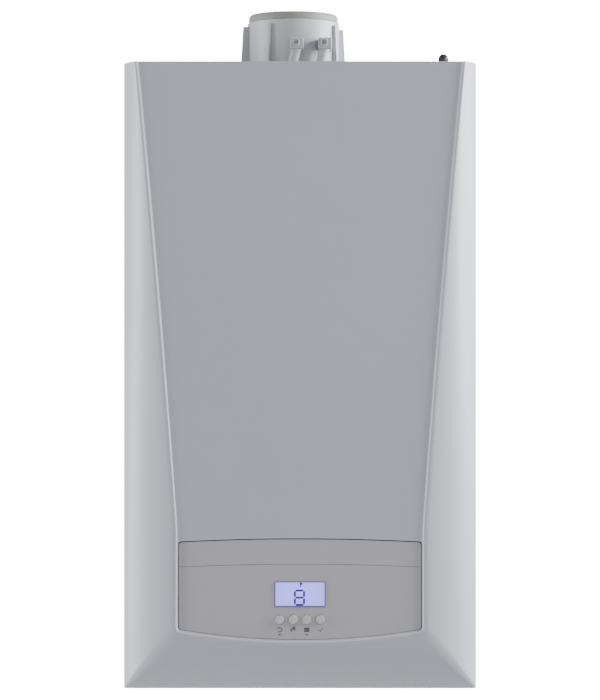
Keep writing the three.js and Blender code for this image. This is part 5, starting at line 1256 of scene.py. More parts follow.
def flue_gasket():
    low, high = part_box("flue_gasket")
    foot, head = low.z - ROOF, high.z - ROOF
    inner, outer = SOCKET_RADIUS - SOCKET_WALL, (high.x - low.x) / 2
    profile = [(inner, foot), (outer - 0.0006, foot), (outer, foot + 0.0008), (outer, head - 0.0008),
               (outer - 0.0006, head), (inner, head)]
    placed(shaded(around_flue(profile, "flue_gasket_ring"), 50), "flue_gasket")


# The vent cap's outline from its ribbed side over the dome, as shares of its radius and height
CAP_DOME = [(1, 0.7), (0.97, 0.74), (0.9, 0.79), (0.74, 0.86), (0.58, 0.91), (0.36, 0.955), (0, 0.97)]
CAP_BORE = 0.0043


def air_vent_cap():
    """The vent's black cap, with a grip of fine ribs."""
    low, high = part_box("air_vent_cap")
    middle, size = (low + high) / 2, high - low
    foot = Vector((middle.x, middle.y, low.z))
    radius, deep = size.x / 2 - 0.0003, size.z / 2 + 0.0003
    profile = [(0, deep), (CAP_BORE, deep), (CAP_BORE, 0), (radius - 0.0005, 0), (radius, 0.0006)]
    profile += [(radius * across, size.z * up) for across, up in CAP_DOME]
    cap = shifted(lathe("cap_shell", profile, steps=48), foot)
    ribs = repeated("cap_ribs", rib_form(0.0007, 0.00045, size.z * 0.7 - 0.0022), FINISHES["black_plastic"],
                    count=24, radius=radius - 0.00015)
    shifted(ribs, foot + Vector((0, 0, 0.001)))
    settled("air_vent_cap", "air_vent_cap_moulding", [cap, ribs], 40)


def rib_form(width, rise, length):
    """A short upright rib whose outside is rounded, for a ring of them."""
    half, shoulder = width / 2, rise * 0.6
    outline = [(-rise, -half), (shoulder, -half), (rise, 0), (shoulder, half), (-rise, half)]
    return lofted("rib", outline, (0, length))


def on_circle(radius, degrees):
    """Points round the origin, at angles in degrees."""
    angles = [math.radians(angle) for angle in degrees]
    return [(radius * math.cos(angle), radius * math.sin(angle)) for angle in angles]


def sheet_metal():
    """The folded casing sheets with their pressed edges, and the screws that hold them."""
    for node, width in (("chassis", 0.0005), ("top_panel", 0.0004), ("bottom_panel", 0.0004)):
        refined(node, width)
    seal = softened(copy_of("cover_seal"), 0.0008, 3, 35)
    placed(shaded(seal, 45), "cover_seal")
    fold, inset = 0.03, 0.012
    places = [(y, z) for y in (-0.03, -0.094) for z in (FLOOR + fold + inset, ROOF - inset)]
    for name, side in (("left", -1), ("right", 1)):
        seats = [Vector((side * (HALF - SHEET), y, z)) for y, z in places]
        screws(f"casing_screws_{name}", seats, "chassis", "stainless", facing=(-side, 0, 0))
    roof = [spot(x, 0.03, HEIGHT) for x in (-0.17, 0.08, 0.17)]
    screws("roof_screws", roof, "chassis", "stainless", facing=(0, 0, 1))
    ring = [at_flue(x, y, ADAPTOR_FOOT + 0.003) for x, y in on_circle(FLANGE_SCREWS, (48, 138, 222, 318))]
    screws("adaptor_screws", ring, "chassis", "stainless", 0.003, (0, 0, 1))


BOARD_FACE = -0.246
BOARD_HEIGHT = 0.118
BOARD_SINK = 0.0002
# Capacitors as X, height from the board's middle, radius and length; connectors and relays as X, height,
# width, height of the block and depth
CAPACITORS = [(-0.088, 0.02, 0.006, 0.016), (-0.072, 0.02, 0.006, 0.016), (-0.09, -0.026, 0.0045, 0.012),
              (0.09, 0.024, 0.0065, 0.018), (0.076, -0.028, 0.004, 0.01), (0.064, -0.028, 0.004, 0.01)]
CONNECTORS = [(0.02, 0.022, 0.03, 0.012, 0.011), (0.06, 0.022, 0.02, 0.012, 0.011),
              (-0.04, -0.03, 0.026, 0.009, 0.01), (0.0, -0.032, 0.018, 0.009, 0.01),
              (0.034, -0.032, 0.018, 0.009, 0.01)]
RELAYS = [(x, z, width, 0.016, 0.013) for x, z, width in ((-0.05, 0.006, 0.024), (0.088, 0.0, 0.02),
                                                          (0.03, -0.006, 0.028))]


def board_blocks(name, blocks, slot):
    """Moulded blocks on the circuit board."""
    pieces = []
    for x, z, width, height, depth in blocks:
        low = Vector((x - width / 2, BOARD_FACE - BOARD_SINK, FLOOR + BOARD_HEIGHT + z - height / 2))
        high = Vector((x + width / 2, BOARD_FACE + depth, FLOOR + BOARD_HEIGHT + z + height / 2))
        pieces.append(rounded_box("block", low, high, 0.0006, 2))
    added(shaded(joined(name, pieces), 40), "control_box", slot)


def control_box():
    """The box behind the band: its shell, ribbed lid and populated board."""
    refined("control_box_shell", 0.0006)
    refined("control_box_rear_lid", 0.0006)
    low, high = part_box("control_box_rear_lid")
    back, middle = high.y, (low.z + high.z) / 2
    ribs = []
    for x in [-0.1 + 0.025 * i for i in range(9)]:
        foot, head = Vector((x - 0.001, back - 0.001,
                             middle - 0.04)), Vector((x + 0.001, back + 0.0016, middle + 0.04))
        ribs.append(rounded_box("lid_rib", foot, head, 0.0005, 2))
    added(shaded(joined("control_box_lid_ribs", ribs), 40), "control_box", "dark_plastic")
    corners = [Vector((x, back, middle + z)) for x in (-0.128, 0.128) for z in (-0.048, 0.048)]
    screws("control_box_screws", corners, "control_box", "stainless", 0.003, (0, 1, 0))
    refined("control_board", 0.0002)
    cans = []
    for x, z, radius, length in CAPACITORS:
        start = Vector((x, BOARD_FACE - BOARD_SINK, FLOOR + BOARD_HEIGHT + z))
        cans.append(bar("can", start, start + Vector((0, length, 0)), radius, steps=32))
    added(shaded(joined("board_capacitors", cans), 40), "control_box", "black_plastic")
    board_blocks("board_connectors", CONNECTORS, "white_plastic")
    board_blocks("board_relays", RELAYS, "blue_plastic")


EXCHANGER_HEIGHT = 0.52
EXCHANGER_CENTRE = spot(FLUE_X, 0, EXCHANGER_HEIGHT)
EXCHANGER_RADIUS = 0.095
EXCHANGER_WALL = 0.007
EXCHANGER_BACK = 0.094
EXCHANGER_FRONT = 0.214
DRAIN_DEPTH = 0.112
DRAIN_FOOT = 0.109
DOOR_FRONT = 0.2233
ELECTRODE_X = 0.052
ELECTRODE_RISE = 0.034


def on_exchanger(x, depth, z):
    return EXCHANGER_CENTRE + Vector((x, -depth, z))


def exchanger_shell(grooves=5, pitch=0.019):
    """The cast drum with its machined rim, cooling-water ribs, flue spigot and drain."""
    radius, rim = EXCHANGER_RADIUS, 0.101
    inner, groove = radius - EXCHANGER_WALL, radius - 0.0014
    front, back = -EXCHANGER_FRONT, -EXCHANGER_BACK
    profile = [(inner, front), (rim - 0.0006, front), (rim, front + 0.0006), (rim, front + 0.0034),
               (rim - 0.0006, front + 0.004), (radius, front + 0.0046)]
    for along in [front + 0.018 + i * pitch for i in range(grooves)]:
        profile += [(radius, along), (groove, along + 0.0014), (groove, along + 0.0056),
                    (radius, along + 0.007)]
    profile += [(radius, back - 0.003), (radius - 0.003, back), (0, back), (0, back - EXCHANGER_WALL),
                (inner, back - EXCHANGER_WALL)]
    drum = lathe("exchanger_drum", profile, EXCHANGER_CENTRE, "Y", 160)

    def branch(depth, foot, head, width, edge, steps):
        return bar("branch", on_exchanger(0, depth, foot), on_exchanger(0, depth, head), width, edge, steps)

    fused(drum, branch(FLUE_DEPTH, 0.089, 0.114, 0.0357, 0.0008, 96),
          branch(DRAIN_DEPTH, -0.09, -DRAIN_FOOT, 0.009, 0.0008, 40))
    cut(drum, branch(FLUE_DEPTH, 0.082, 0.13, 0.0323, BORE_EDGE, 96),
        branch(DRAIN_DEPTH, -0.082, -0.12, 0.006, BORE_EDGE, 40))
    placed(shaded(drum, 35), "heat_exchanger_shell")


def exchanger_coil(turns=4, steps=64, sides=20):
    """Turns of round stainless tube inside the drum."""
    tube_radius = 0.008
    centre = EXCHANGER_RADIUS - EXCHANGER_WALL - SEAT - tube_radius
    back = EXCHANGER_BACK + EXCHANGER_WALL + SEAT + tube_radius
    run = EXCHANGER_FRONT - EXCHANGER_BACK - EXCHANGER_WALL - SEAT - 2.5 * tube_radius
    section = on_circle(tube_radius, [360 * k / sides for k in range(sides)])
    rings = []
    for i in range(turns * steps + 1):
        angle = 2 * math.pi * i / steps
        spoke = Vector((math.cos(angle), 0, math.sin(angle)))
        middle = on_exchanger(0, back + run * i / (turns * steps), 0) + spoke * centre
        rings.append([middle + spoke * out + Vector((0, along, 0)) for out, along in section])
    placed(shaded(skinned("exchanger_coil_tube", rings), 50), "heat_exchanger_coil")


def burner_door():
    """The burner door: a cast lid with a stiffening ring, spokes, bolts and the two electrode holes."""
    front, back = -DOOR_FRONT, -EXCHANGER_FRONT - SEAT
    hole, rim, web, step, raised = 0.0333, 0.098, 0.0828, 0.0012, 0.0022
    profile = [(hole, back), (rim - 0.0005, back), (rim, back - 0.0006), (rim, front + step),
               (rim - step, front), (web + step, front), (web, front + step), (web, front + raised),
               (0.05, front + raised), (0.0488, front + step), (0.0488, front), (hole, front)]
    door = lathe("door_casting", profile, EXCHANGER_CENTRE, "Y", 144)
    pieces = [door]
    for i in range(6):
        rib = rounded_box("door_rib", Vector((0.048, front, -0.0015)),
                          Vector((0.0835, front + 0.004, 0.0015)), 0.0006, 2)
        pieces.append(shifted(rib, EXCHANGER_CENTRE, math.pi / 3 * i, "Y"))
    for x, z in on_circle(0.091, range(30, 360, 60)):
        head, seat = on_exchanger(x, DOOR_FRONT + 0.003, z), on_exchanger(x, DOOR_FRONT - 0.0005, z)
        pieces.append(hex_nut("door_bolt", head, seat, 0.004))
    for side in (-1, 1):
        start = on_exchanger(ELECTRODE_X, DOOR_FRONT + 0.01, side * ELECTRODE_RISE)
        cut(door, bore(start, start + Vector((0, 0.03, 0)), 0.0053))
    settled("burner_door", "burner_door_casting", pieces)


def burner_tube(rows=5, row_pitch=0.0145):
    """The perforated burner sleeve with its flange."""
    radius, inner, flange, edge = 0.033, 0.0315, 0.042, 0.0004
    front, back = -(DOOR_FRONT + SEAT + 0.002), -(DOOR_FRONT - 0.096)
    profile = [(inner, front), (flange - edge, front), (flange, front + edge), (flange, front + 0.0016),
               (flange - edge, front + 0.002), (radius, front + 0.002), (radius, back - 0.001),
               (radius - 0.001, back), (0, back), (0, back - 0.0015), (inner, back - 0.0015)]
    pieces = [lathe("burner_sleeve", profile, EXCHANGER_CENTRE, "Y")]
    for row in range(rows):
        low, high = Vector((radius - 0.0006, -0.0008, -0.004)), Vector((radius + 0.00015, 0.0008, 0.004))
        slot = rounded_box("slot", low, high, 0.0002, 1)
        ring = repeated("burner_slots", slot, FINISHES["stainless"], count=36, radius=0.0001)
        place = EXCHANGER_CENTRE + Vector((0, back - 0.012 - row * row_pitch, 0))
        pieces.append(shifted(ring, place, -math.pi / 2, "X"))
    settled("burner_tube", "burner_tube_sleeve", pieces)


def electrode(node, side):
    """A glazed ceramic with a collar and a straight wire."""
    z = side * ELECTRODE_RISE
    front, back = DOOR_FRONT + 0.016, EXCHANGER_FRONT + SEAT - 0.014
    length, neck, collar = front - back, 0.0034, 0.0042
    profile = [(0, 0), (neck, 0), (collar, 0.0008), (collar, 0.005), (neck, 0.0058), (neck, 0.0068),
               (collar, 0.0076), (0.005, 0.0092), (0.005, length - 0.001), (0.004, length), (0, length)]
    ceramic = turned_to(lathe("ceramic", profile, steps=40), on_exchanger(ELECTRODE_X, front, z), (0, 1, 0))
    wire = bar("wire", on_exchanger(ELECTRODE_X, front + 0.007, z),
               on_exchanger(ELECTRODE_X, back - 0.024, z), 0.0014, 0.0004, 20)
    placed(shaded(joined(f"{node}_rod", [ceramic, wire]), 45), node)


def exchanger_frame():
    """The cross bar with its ring, screwed to the casing's sides."""
    low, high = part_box("exchanger_frame")
    middle, bar_half = EXCHANGER_CENTRE, 0.02

    def disc(radius, reach):
        front, back = low.y - reach, high.y + reach
        return lathe("disc", [(0, front), (radius, front), (radius, back), (0, back)], middle, "Y", 144)

    plate = rounded_box("frame_bar", Vector((low.x, low.y, middle.z - bar_half)),
                        Vector((high.x, high.y, middle.z + bar_half)), 0.0004, 1)
    fused(plate, disc(0.112, 0))
    cut(plate, disc(EXCHANGER_RADIUS + SEAT, CUT_REACH))
    softened(plate, 0.0004, 2, 35)
    placed(shaded(plate, 35), "exchanger_frame")
    places = [Vector((x, low.y, middle.z + z)) for x in (-0.18, -0.15, 0.15, 0.18) for z in (-0.012, 0.012)]
    screws("frame_screws", places, "chassis", "stainless", 0.0034)


FAN_X = -0.03
FAN_HEIGHT = 0.348
FAN_CENTRE = spot(FAN_X, 0, FAN_HEIGHT)
FAN_BACK = 0.205
FAN_FRONT = 0.249
FAN_ROUND = 0.047
OUTLET_X = -0.043
OUTLET_HEIGHT = 0.066
MIXER_RADIUS = 0.021


def at_fan(x, depth, z):
    return FAN_CENTRE + Vector((x, -depth, z))


def fan_volute(steps=72):
    """The fan's scroll housing with its outlet, seam lugs and a round inlet."""
    outline = []
    for i in range(steps + 1):
        share = i / steps
        angle, radius = math.pi - 1.5 * math.pi * share, FAN_ROUND + 0.013 * (1 - share)
        outline.append((radius * math.cos(angle), radius * math.sin(angle)))
    body = skinned("scroll", [[at_fan(x, d, z) for x, z in outline] for d in (FAN_FRONT, FAN_BACK)])
    softened(body, 0.0022, 4, 60)

    def drum(front, back, radius, edge, sides):
        start, end = at_fan(0, FAN_FRONT + front, 0), at_fan(0, FAN_BACK + back, 0)
        return bar("drum", start, end, radius, edge, sides)

    def way_out(half, inset, head, edge, segments):
        return rounded_box("way_out", at_fan(OUTLET_X - half, FAN_FRONT - inset, 0),
                           at_fan(OUTLET_X + half, FAN_BACK + inset, head), edge, segments)

    fused(body, drum(0, 0, FAN_ROUND, 0.002, 96), way_out(0.017, 0.004, OUTLET_HEIGHT, 0.0016, 3))
    cut(body, drum(-0.003, 0.003, 0.042, 0.0005, 96), drum(0.01, 0.01, 0.019, 0.0005, 64),
        bore(at_fan(0, FAN_BACK + 0.01, 0), at_fan(0, FAN_BACK - 0.01, 0), 0.0033),
        way_out(0.014, 0.007, OUTLET_HEIGHT + 0.02, 0.001, 2))
    pieces = [body]
    for x, z in on_circle(0.0495, (30, 90, 225, 300)):
        start, end = at_fan(x, FAN_FRONT - 0.006, z), at_fan(x, FAN_BACK + 0.012, z)
        pieces.append(bar("lug", start, end, 0.0045, steps=24))
    settled("fan_volute", "fan_volute_casting", pieces)


def fan_motor():
    """The fan's motor can with cooling ribs and a domed end."""
    radius, front, length = 0.034, FAN_BACK - SEAT, 0.042
    profile = [(0, 0), (radius - 0.0008, 0), (radius, 0.0008), (radius, length - 0.013),
               (0.033, length - 0.0095), (0.0305, length - 0.007), (0.0265, length - 0.004),
               (0.0255, length - 0.0008), (0.0247, length), (0, length)]
    can = turned_to(lathe("motor_can", profile, steps=80), at_fan(0, front, 0), (0, 1, 0))
    shaft = bar("motor_shaft", at_fan(0, FAN_BACK + 0.0244, 0), at_fan(0, front - 0.01, 0), 0.003, 0.0004, 32)
    rib = rounded_box("motor_rib", Vector((-0.0016, -0.0007, 0)), Vector((-0.0001, 0.0007, 0.02)), 0.0003, 1)
    ribs = repeated("motor_ribs", rib, FINISHES["black_plastic"], count=32, radius=radius)
    turned_to(ribs, at_fan(0, front - 0.006, 0), (0, 1, 0))
    settled("fan_motor", "fan_motor_can", [can, shaft, ribs])


def bladed_wheel(node, centre, radius, eye, back, width, count):
    """A wheel with backward-curved blades on a plate and a hub."""
    front, plate, thickness, hub, shaft = back - width, 0.0016, 0.0016, 0.008, 0.0033
    seat, face = front + width / 3, back - plate
    profile = [(shaft, seat), (hub - 0.0006, seat), (hub, seat + 0.0006), (hub, face - 0.0012),
               (hub + 0.0012, face), (radius - 0.0004, face), (radius, face + 0.0004), (radius, back),
               (shaft, back)]
    pieces = [lathe("wheel_plate", profile, centre, "Y", 72)]
    lean, pull, trim = math.radians(34), (eye + radius) / 2, 0.995
    near, far = [], []
    for t in [k / 10 for k in range(11)]:
        x = (eye * (1 - t) ** 2 + pull * 2 * t * (1 - t) + radius * math.cos(lean) * t * t) * trim
        z = radius * math.sin(lean) * t * t * trim
        near.append((x, z - thickness / 2))
        far.append((x - thickness * 0.9 * t, z + thickness / 2))
    for i in range(count):
        turn = Matrix.Rotation(-2 * math.pi * i / count, 3, "Y")
        rings = [[centre + turn @ Vector((x, y, z)) for x, z in near + far[::-1]]
                 for y in (front, back - plate / 2)]
        pieces.append(skinned("blade", rings))
    placed(shaded(joined(f"{node}_wheel", pieces), 35), node)


def mixer():
    """The gas-air mixer: a turned body with a machined face and an air port."""
    low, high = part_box("gas_air_mixer")

    def on_mixer(x, y, z=0.0):
        return Vector((FAN_CENTRE.x + x, y, FAN_CENTRE.z + z))

    body = bar("mixer_body", on_mixer(0, low.y), on_mixer(0, high.y), MIXER_RADIUS, 0.0012, 72)
    middle = (low.y + high.y) / 2
    cut(body, bore(on_mixer(0, middle), on_mixer(0, high.y + 0.01), 0.013, 48),
        bore(on_mixer(0, middle), on_mixer(0.03, middle), 0.0065))
    placed(shaded(body, 35), "gas_air_mixer")
    places = [on_mixer(x, low.y, z) for x, z in on_circle(0.0145, (45, 135, 225, 315))]
    screws("mixer_screws", places, "chassis", "stainless", 0.0026)


def air_intake():
    """The air tube: a corrugated stretch up the right-hand side."""
    depth, reach = FAN_FRONT + SEAT + 0.011, 0.128
    route = [at_fan(MIXER_RADIUS + SEAT, depth, 0), at_fan(reach, depth, 0), at_fan(reach, depth, 0.12)]
    pipe = tube("intake", route, 0.0104, 0.026, 0.0094, swell=(0.006, 0.055))
    placed(shaded(pipe, 60), "air_intake_tube")


def mixture_duct():
    """The duct from the fan to the burner: a loft with a flange and a round hub."""
    low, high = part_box("mixture_duct")
    foot, head, foot_depth, depth = OUTLET_HEIGHT + SEAT, 0.172, 0.227, 0.252
    reach = FLUE_X - FAN_X
    keys = []
    for share in (0, 0.1, 0.3, 0.62, 0.86):
        forward, over = min(1, share * 4), max(0, (share - 0.2) / 0.8)
        keys.append(at_fan(OUTLET_X + (reach - OUTLET_X) * over * over,
                           foot_depth + (depth - foot_depth) * forward, foot + (head - foot) * share))
    half_x, half_y, corner = 0.017, 0.013, 0.0055
    outline = rounded_outline(-half_x, -half_y, half_x, half_y, corner, 5)
    rings = [[centre + Vector((x, y, 0)) for x, y in outline] for centre in smooth_route(keys, 36)]
    loft = skinned("duct_loft", rings)
    length, hub_radius = high.y - low.y, 0.038
    hub_profile = [(0, 0), (0.031, 0), (0.0355, 0.0014), (0.0375, 0.004), (hub_radius, 0.008),
                   (hub_radius, length - 0.0006), (hub_radius - 0.0006, length), (0, length)]
    hub = lathe("duct_hub", hub_profile)
    fused(loft, turned_to(hub, Vector((EXCHANGER_CENTRE.x, low.y, EXCHANGER_CENTRE.z)), (0, 1, 0)))
    placed(shaded(loft, 35), "mixture_duct")


def smooth_route(keys, steps):
    """Points on a smooth curve through the keys (centripetal, with doubled ends)."""
    keys = [keys[0] * 2 - keys[1], *keys, keys[-1] * 2 - keys[-2]]
    points = []
    spans = len(keys) - 3
    for i in range(steps + 1):
        at = min(spans - 1e-9, i / steps * spans)
        k, t = int(at), at - int(at)
        a, b, c, d = keys[k:k + 4]
        points.append((b * 2 + (c - a) * t + (a * 2 - b * 5 + c * 4 - d) * t * t
                       + (b * 3 - a - c * 3 + d) * t ** 3) / 2)
    return points


VALVE_X = 0.096
VALVE_DEPTH = 0.196
VALVE_FOOT = 0.262
VALVE_SIZE = (0.058, 0.052, 0.046)
VALVE_PORT = 0.008


def gas_valve():
    """The gas valve: a die-cast block with two solenoid cans, ports and screws."""
    centre = spot(VALVE_X, VALVE_DEPTH, VALVE_FOOT)
    width, depth, height = VALVE_SIZE

    def at_valve(x, y, z):
        return centre + Vector((x, y, z))

    pieces = [rounded_box("valve_block", at_valve(-width / 2, -depth / 2, 0),
                          at_valve(width / 2, depth / 2, height), 0.003, 4)]
    for x in (-0.0146, 0.0146):
        top = at_valve(x, 0, height + 0.03)
        pieces.append(bar("can", at_valve(x, 0, height - 0.002), top, 0.014, 0.0016, 56))
        pieces.append(bar("can_nut", top - Vector((0, 0, 0.001)), top, 0.006, 0.0002, 6))
    pieces.append(bar("inlet", at_valve(0, 0, -VALVE_PORT), at_valve(0, 0, 0.004), 0.011, 0.0008, 40))
    pieces.append(bar("outlet", at_valve(-width / 2 - VALVE_PORT, 0, height / 2),
                      at_valve(-width / 2 + 0.004, 0, height / 2), 0.011, 0.0008, 40))
    settled("gas_valve", "gas_valve_block", pieces)
    places = [at_valve(x, -depth / 2, z) for x in (-0.023, 0.023) for z in (0.006, 0.04)]
    screws("gas_valve_screws", places, "chassis", "stainless", 0.0028)


def gas_feed():
    """The pipe from the gas valve to the mixer."""
    height = VALVE_FOOT + VALVE_SIZE[2] / 2
    start = VALVE_X - VALVE_SIZE[0] / 2 - VALVE_PORT - SEAT
    mixer_depth, bend = FAN_FRONT + SEAT + 0.0085, 0.026
    route = [spot(start, VALVE_DEPTH, height), spot(start - bend, VALVE_DEPTH, height),
             spot(FAN_X, mixer_depth, height - bend),
             spot(FAN_X, mixer_depth, FAN_HEIGHT - MIXER_RADIUS - SEAT)]
    placed(shaded(tube("gas_feed", route, 0.005), 50), "gas_feed_pipe")


PIPE_PITCH = 0.065
PIPE_DEPTH = 0.105
GAS_DEPTH = 0.148
FILL_DEPTH = 0.148
PIPE_END = 0.004
FITTING_FOOT = 0.066
STUB_HEAD = FITTING_FOOT - SEAT
NUT_RADIUS = 0.016
MAIN_RADIUS = 0.011
SMALL_RADIUS = 0.0075
GAS_RADIUS = 0.009
BRANCH_HEIGHT = 0.092
BRANCH_RADIUS = 0.009
DIVERTER_X = -0.13
DIVERTER_HEAD = 0.14
PUMP_X = 0.13
PUMP_CENTRE = spot(PUMP_X, 0, 0.106)
PUMP_FRONT = 0.118
PUMP_BACK = 0.08
PUMP_HEAD = 0.16
SHAFT_FOOT = 0.0884
RELIEF_X = 0.177
RELIEF_DEPTH = 0.112
RELIEF_HEIGHT = 0.084
HOSE_X = 0.096
HOSE_DEPTH = 0.0875
HOSE_FOOT = 0.146
RISER_REACH = 0.166
RISER_HEAD = 0.48
BOSS_HEAD = 0.133


def row_pipe(x, depth, radius, head):
    """A connection of the row: a pipe with an open, rolled end and its union nut."""
    inner, edge, deep = radius - 0.0012, 0.0006, 0.018
    profile = [(0, deep), (inner, deep), (inner, edge), (inner + edge, 0), (radius - 0.0004, 0),
               (radius, 0.0004), (radius, head - PIPE_END), (0, head - PIPE_END)]
    return [lathe("pipe", profile, spot(x, depth, PIPE_END), steps=56),
            hex_nut("nut", spot(x, depth, 0.012), spot(x, depth, 0.028), NUT_RADIUS, radius - 0.0002)]


def connections():
    """The row of five pipe ends below the casing, with the gas riser and the filling branch."""
    for name, row, radius in (("heating_flow", -2, MAIN_RADIUS), ("hot_water", -1, SMALL_RADIUS),
                              ("heating_return", 2, MAIN_RADIUS)):
        pieces = row_pipe(row * PIPE_PITCH, PIPE_DEPTH, radius, STUB_HEAD)
        settled(f"{name}_pipe", f"{name}_tail", pieces, 40)
    route = [spot(0, GAS_DEPTH, 0.07), spot(0, GAS_DEPTH, 0.186), spot(VALVE_X, VALVE_DEPTH, 0.208),
             spot(VALVE_X, VALVE_DEPTH, VALVE_FOOT - VALVE_PORT - SEAT)]
    riser = tube("gas_riser", route, GAS_RADIUS)
    pieces = row_pipe(0, GAS_DEPTH, GAS_RADIUS, 0.072)
    settled("gas_supply_pipe", "gas_supply_tail", [*pieces, riser], 40)
    pieces = row_pipe(PIPE_PITCH, PIPE_DEPTH, SMALL_RADIUS, STUB_HEAD)
    pieces.append(upright("fill_trunk", PIPE_PITCH, FILL_DEPTH, 0.02, 0.06, 0.009, 0.0012, 40))
    pieces.append(bar("fill_arm", spot(PIPE_PITCH, FILL_DEPTH, 0.051), spot(PIPE_PITCH, PIPE_DEPTH, 0.051),
                      SMALL_RADIUS, steps=40))
    settled("cold_water_pipe", "cold_water_tail", pieces, 40)


def plate_exchanger(plates=22):
    """The plate heat exchanger: a stack of pressed plates, every second one a little smaller."""
    low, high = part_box("plate_heat_exchanger")
    pitch = (high.z - low.z) / plates
    pieces = []
    for i in range(plates):
        inset = 0.0012 if i % 2 and i < plates - 1 else 0
        foot = low.z + i * pitch
        overlap = 0.0001 if i < plates - 1 else 0
        outline = rounded_outline(low.x + inset, low.y + inset, high.x - inset, high.y - inset, 0.012, 8)
        pieces.append(lofted("plate", outline, (foot, foot + pitch + overlap)))
    settled("plate_heat_exchanger", "plate_exchanger_stack", pieces)


def at_diverter(height):
    return spot(DIVERTER_X, PIPE_DEPTH, height)


def diverter_body():
    """The brass diverter with its branches."""
    rim, waist, neck, edge, foot, top = 0.018, 0.0168, 0.0172, 0.0008, FITTING_FOOT, DIVERTER_HEAD
    profile = [(MAIN_RADIUS, top), (MAIN_RADIUS, BRANCH_HEIGHT), (0, BRANCH_HEIGHT), (0, foot),
               (neck, foot), (rim, foot + edge), (rim, 0.074), (waist, 0.0752), (waist, 0.128),
               (rim, 0.1292), (rim, top - edge), (neck, top)]

    def at_branch(x, height=BRANCH_HEIGHT):
        return spot(x, PIPE_DEPTH, height)

    pieces = [lathe("diverter_trunk", profile, at_diverter(0), steps=72),
              hex_nut("branch_nut", at_branch(-0.095), at_branch(-0.106), 0.0105),
              bar("branch", at_branch(-0.084 - SEAT), at_branch(-0.114), BRANCH_RADIUS, steps=40),
              bar("inlet", at_branch(-RISER_REACH, 0.12), at_branch(-0.147, 0.12), BRANCH_RADIUS, steps=40),
              upright("boss", -RISER_REACH, PIPE_DEPTH, 0.111, BOSS_HEAD, 0.013, 0.0012)]
    settled("diverter_valve_body", "diverter_casting", pieces)


def diverter():
    """The diverter, its spindle and the actuator that drives it."""
    diverter_body()
    foot, head, guide = DIVERTER_HEAD + SEAT, DIVERTER_HEAD + 0.014, DIVERTER_HEAD - 0.008 - SEAT
    parts = []
    for low, high, radius, edge, steps in ((0.112, head, 0.003, 0.0004, 32),
                                           (0.112, 0.115, 0.009, 0.0005, 48),
                                           (guide - 0.003, guide, 0.0107, 0.0004, 48)):
        parts.append(bar("rod", at_diverter(low), at_diverter(high), radius, edge, steps))
    settled("diverter_spindle", "diverter_rod", parts, 40)
    half_x, half_y, height = 0.021, 0.025, 0.046
    case = rounded_box("actuator", spot(DIVERTER_X - half_x, PIPE_DEPTH + half_y, foot),
                       spot(DIVERTER_X + half_x, PIPE_DEPTH - half_y, foot + height), 0.003, 4)
    cap = bar("actuator_cap", at_diverter(foot + 0.04), at_diverter(foot + 0.051), 0.014, 0.0012, 56)
    cut(case, bore(at_diverter(foot - 0.01), at_diverter(head + 0.008 + SEAT), 0.0033))
    settled("diverter_actuator", "diverter_actuator_case", [case, cap])
    places = [spot(DIVERTER_X + x, PIPE_DEPTH + half_y, foot + z) for x in (-0.016, 0.016)
              for z in (0.006, 0.04)]
    screws("actuator_screws", places, "chassis", "stainless", 0.0022)


def pump_housing():
    """The pump's moulded housing with its branches and the relief valve's body."""
    front, back, rim, wall = -PUMP_FRONT, -PUMP_BACK, 0.04, 0.0385
    profile = [(0.034, front), (rim - 0.0006, front), (rim, front + 0.0006), (rim, front + 0.008),
               (wall, front + 0.0095), (wall, back - 0.004), (wall - 0.004, back), (0, back),
               (0, back - 0.006), (0.034, back - 0.006)]
    middle = (PUMP_FRONT + PUMP_BACK) / 2

    def at_relief(depth, x=RELIEF_X):
        return spot(x, depth, RELIEF_HEIGHT)

    pieces = [lathe("pump_bowl", profile, PUMP_CENTRE, "Y"),
              upright("suction", PUMP_X, PIPE_DEPTH, FITTING_FOOT, 0.074, 0.0125, 0.0008),
              upright("delivery", PUMP_X, middle, 0.138, PUMP_HEAD, 0.0125, 0.0008),
              bar("branch", spot(0.08 + SEAT, PIPE_DEPTH, BRANCH_HEIGHT),
                  spot(0.1, PIPE_DEPTH, BRANCH_HEIGHT), BRANCH_RADIUS, steps=40),
              upright("hose_boss", HOSE_X, HOSE_DEPTH, 0.112, HOSE_FOOT, 0.00625, steps=32),
              bar("relief_arm", at_relief(RELIEF_DEPTH, 0.165), at_relief(RELIEF_DEPTH), 0.0045, 0.0004, 32),
              bar("relief_body", at_relief(0.158), at_relief(0.104), 0.008, 0.0008, 40),
              hex_nut("relief_nut", at_relief(0.15), at_relief(0.141), 0.0092),
              upright("relief_outlet", RELIEF_X, 0.131, 0.06, 0.08, 0.004, 0.0004, 32)]
    settled("pump_housing", "pump_housing_moulding", pieces)


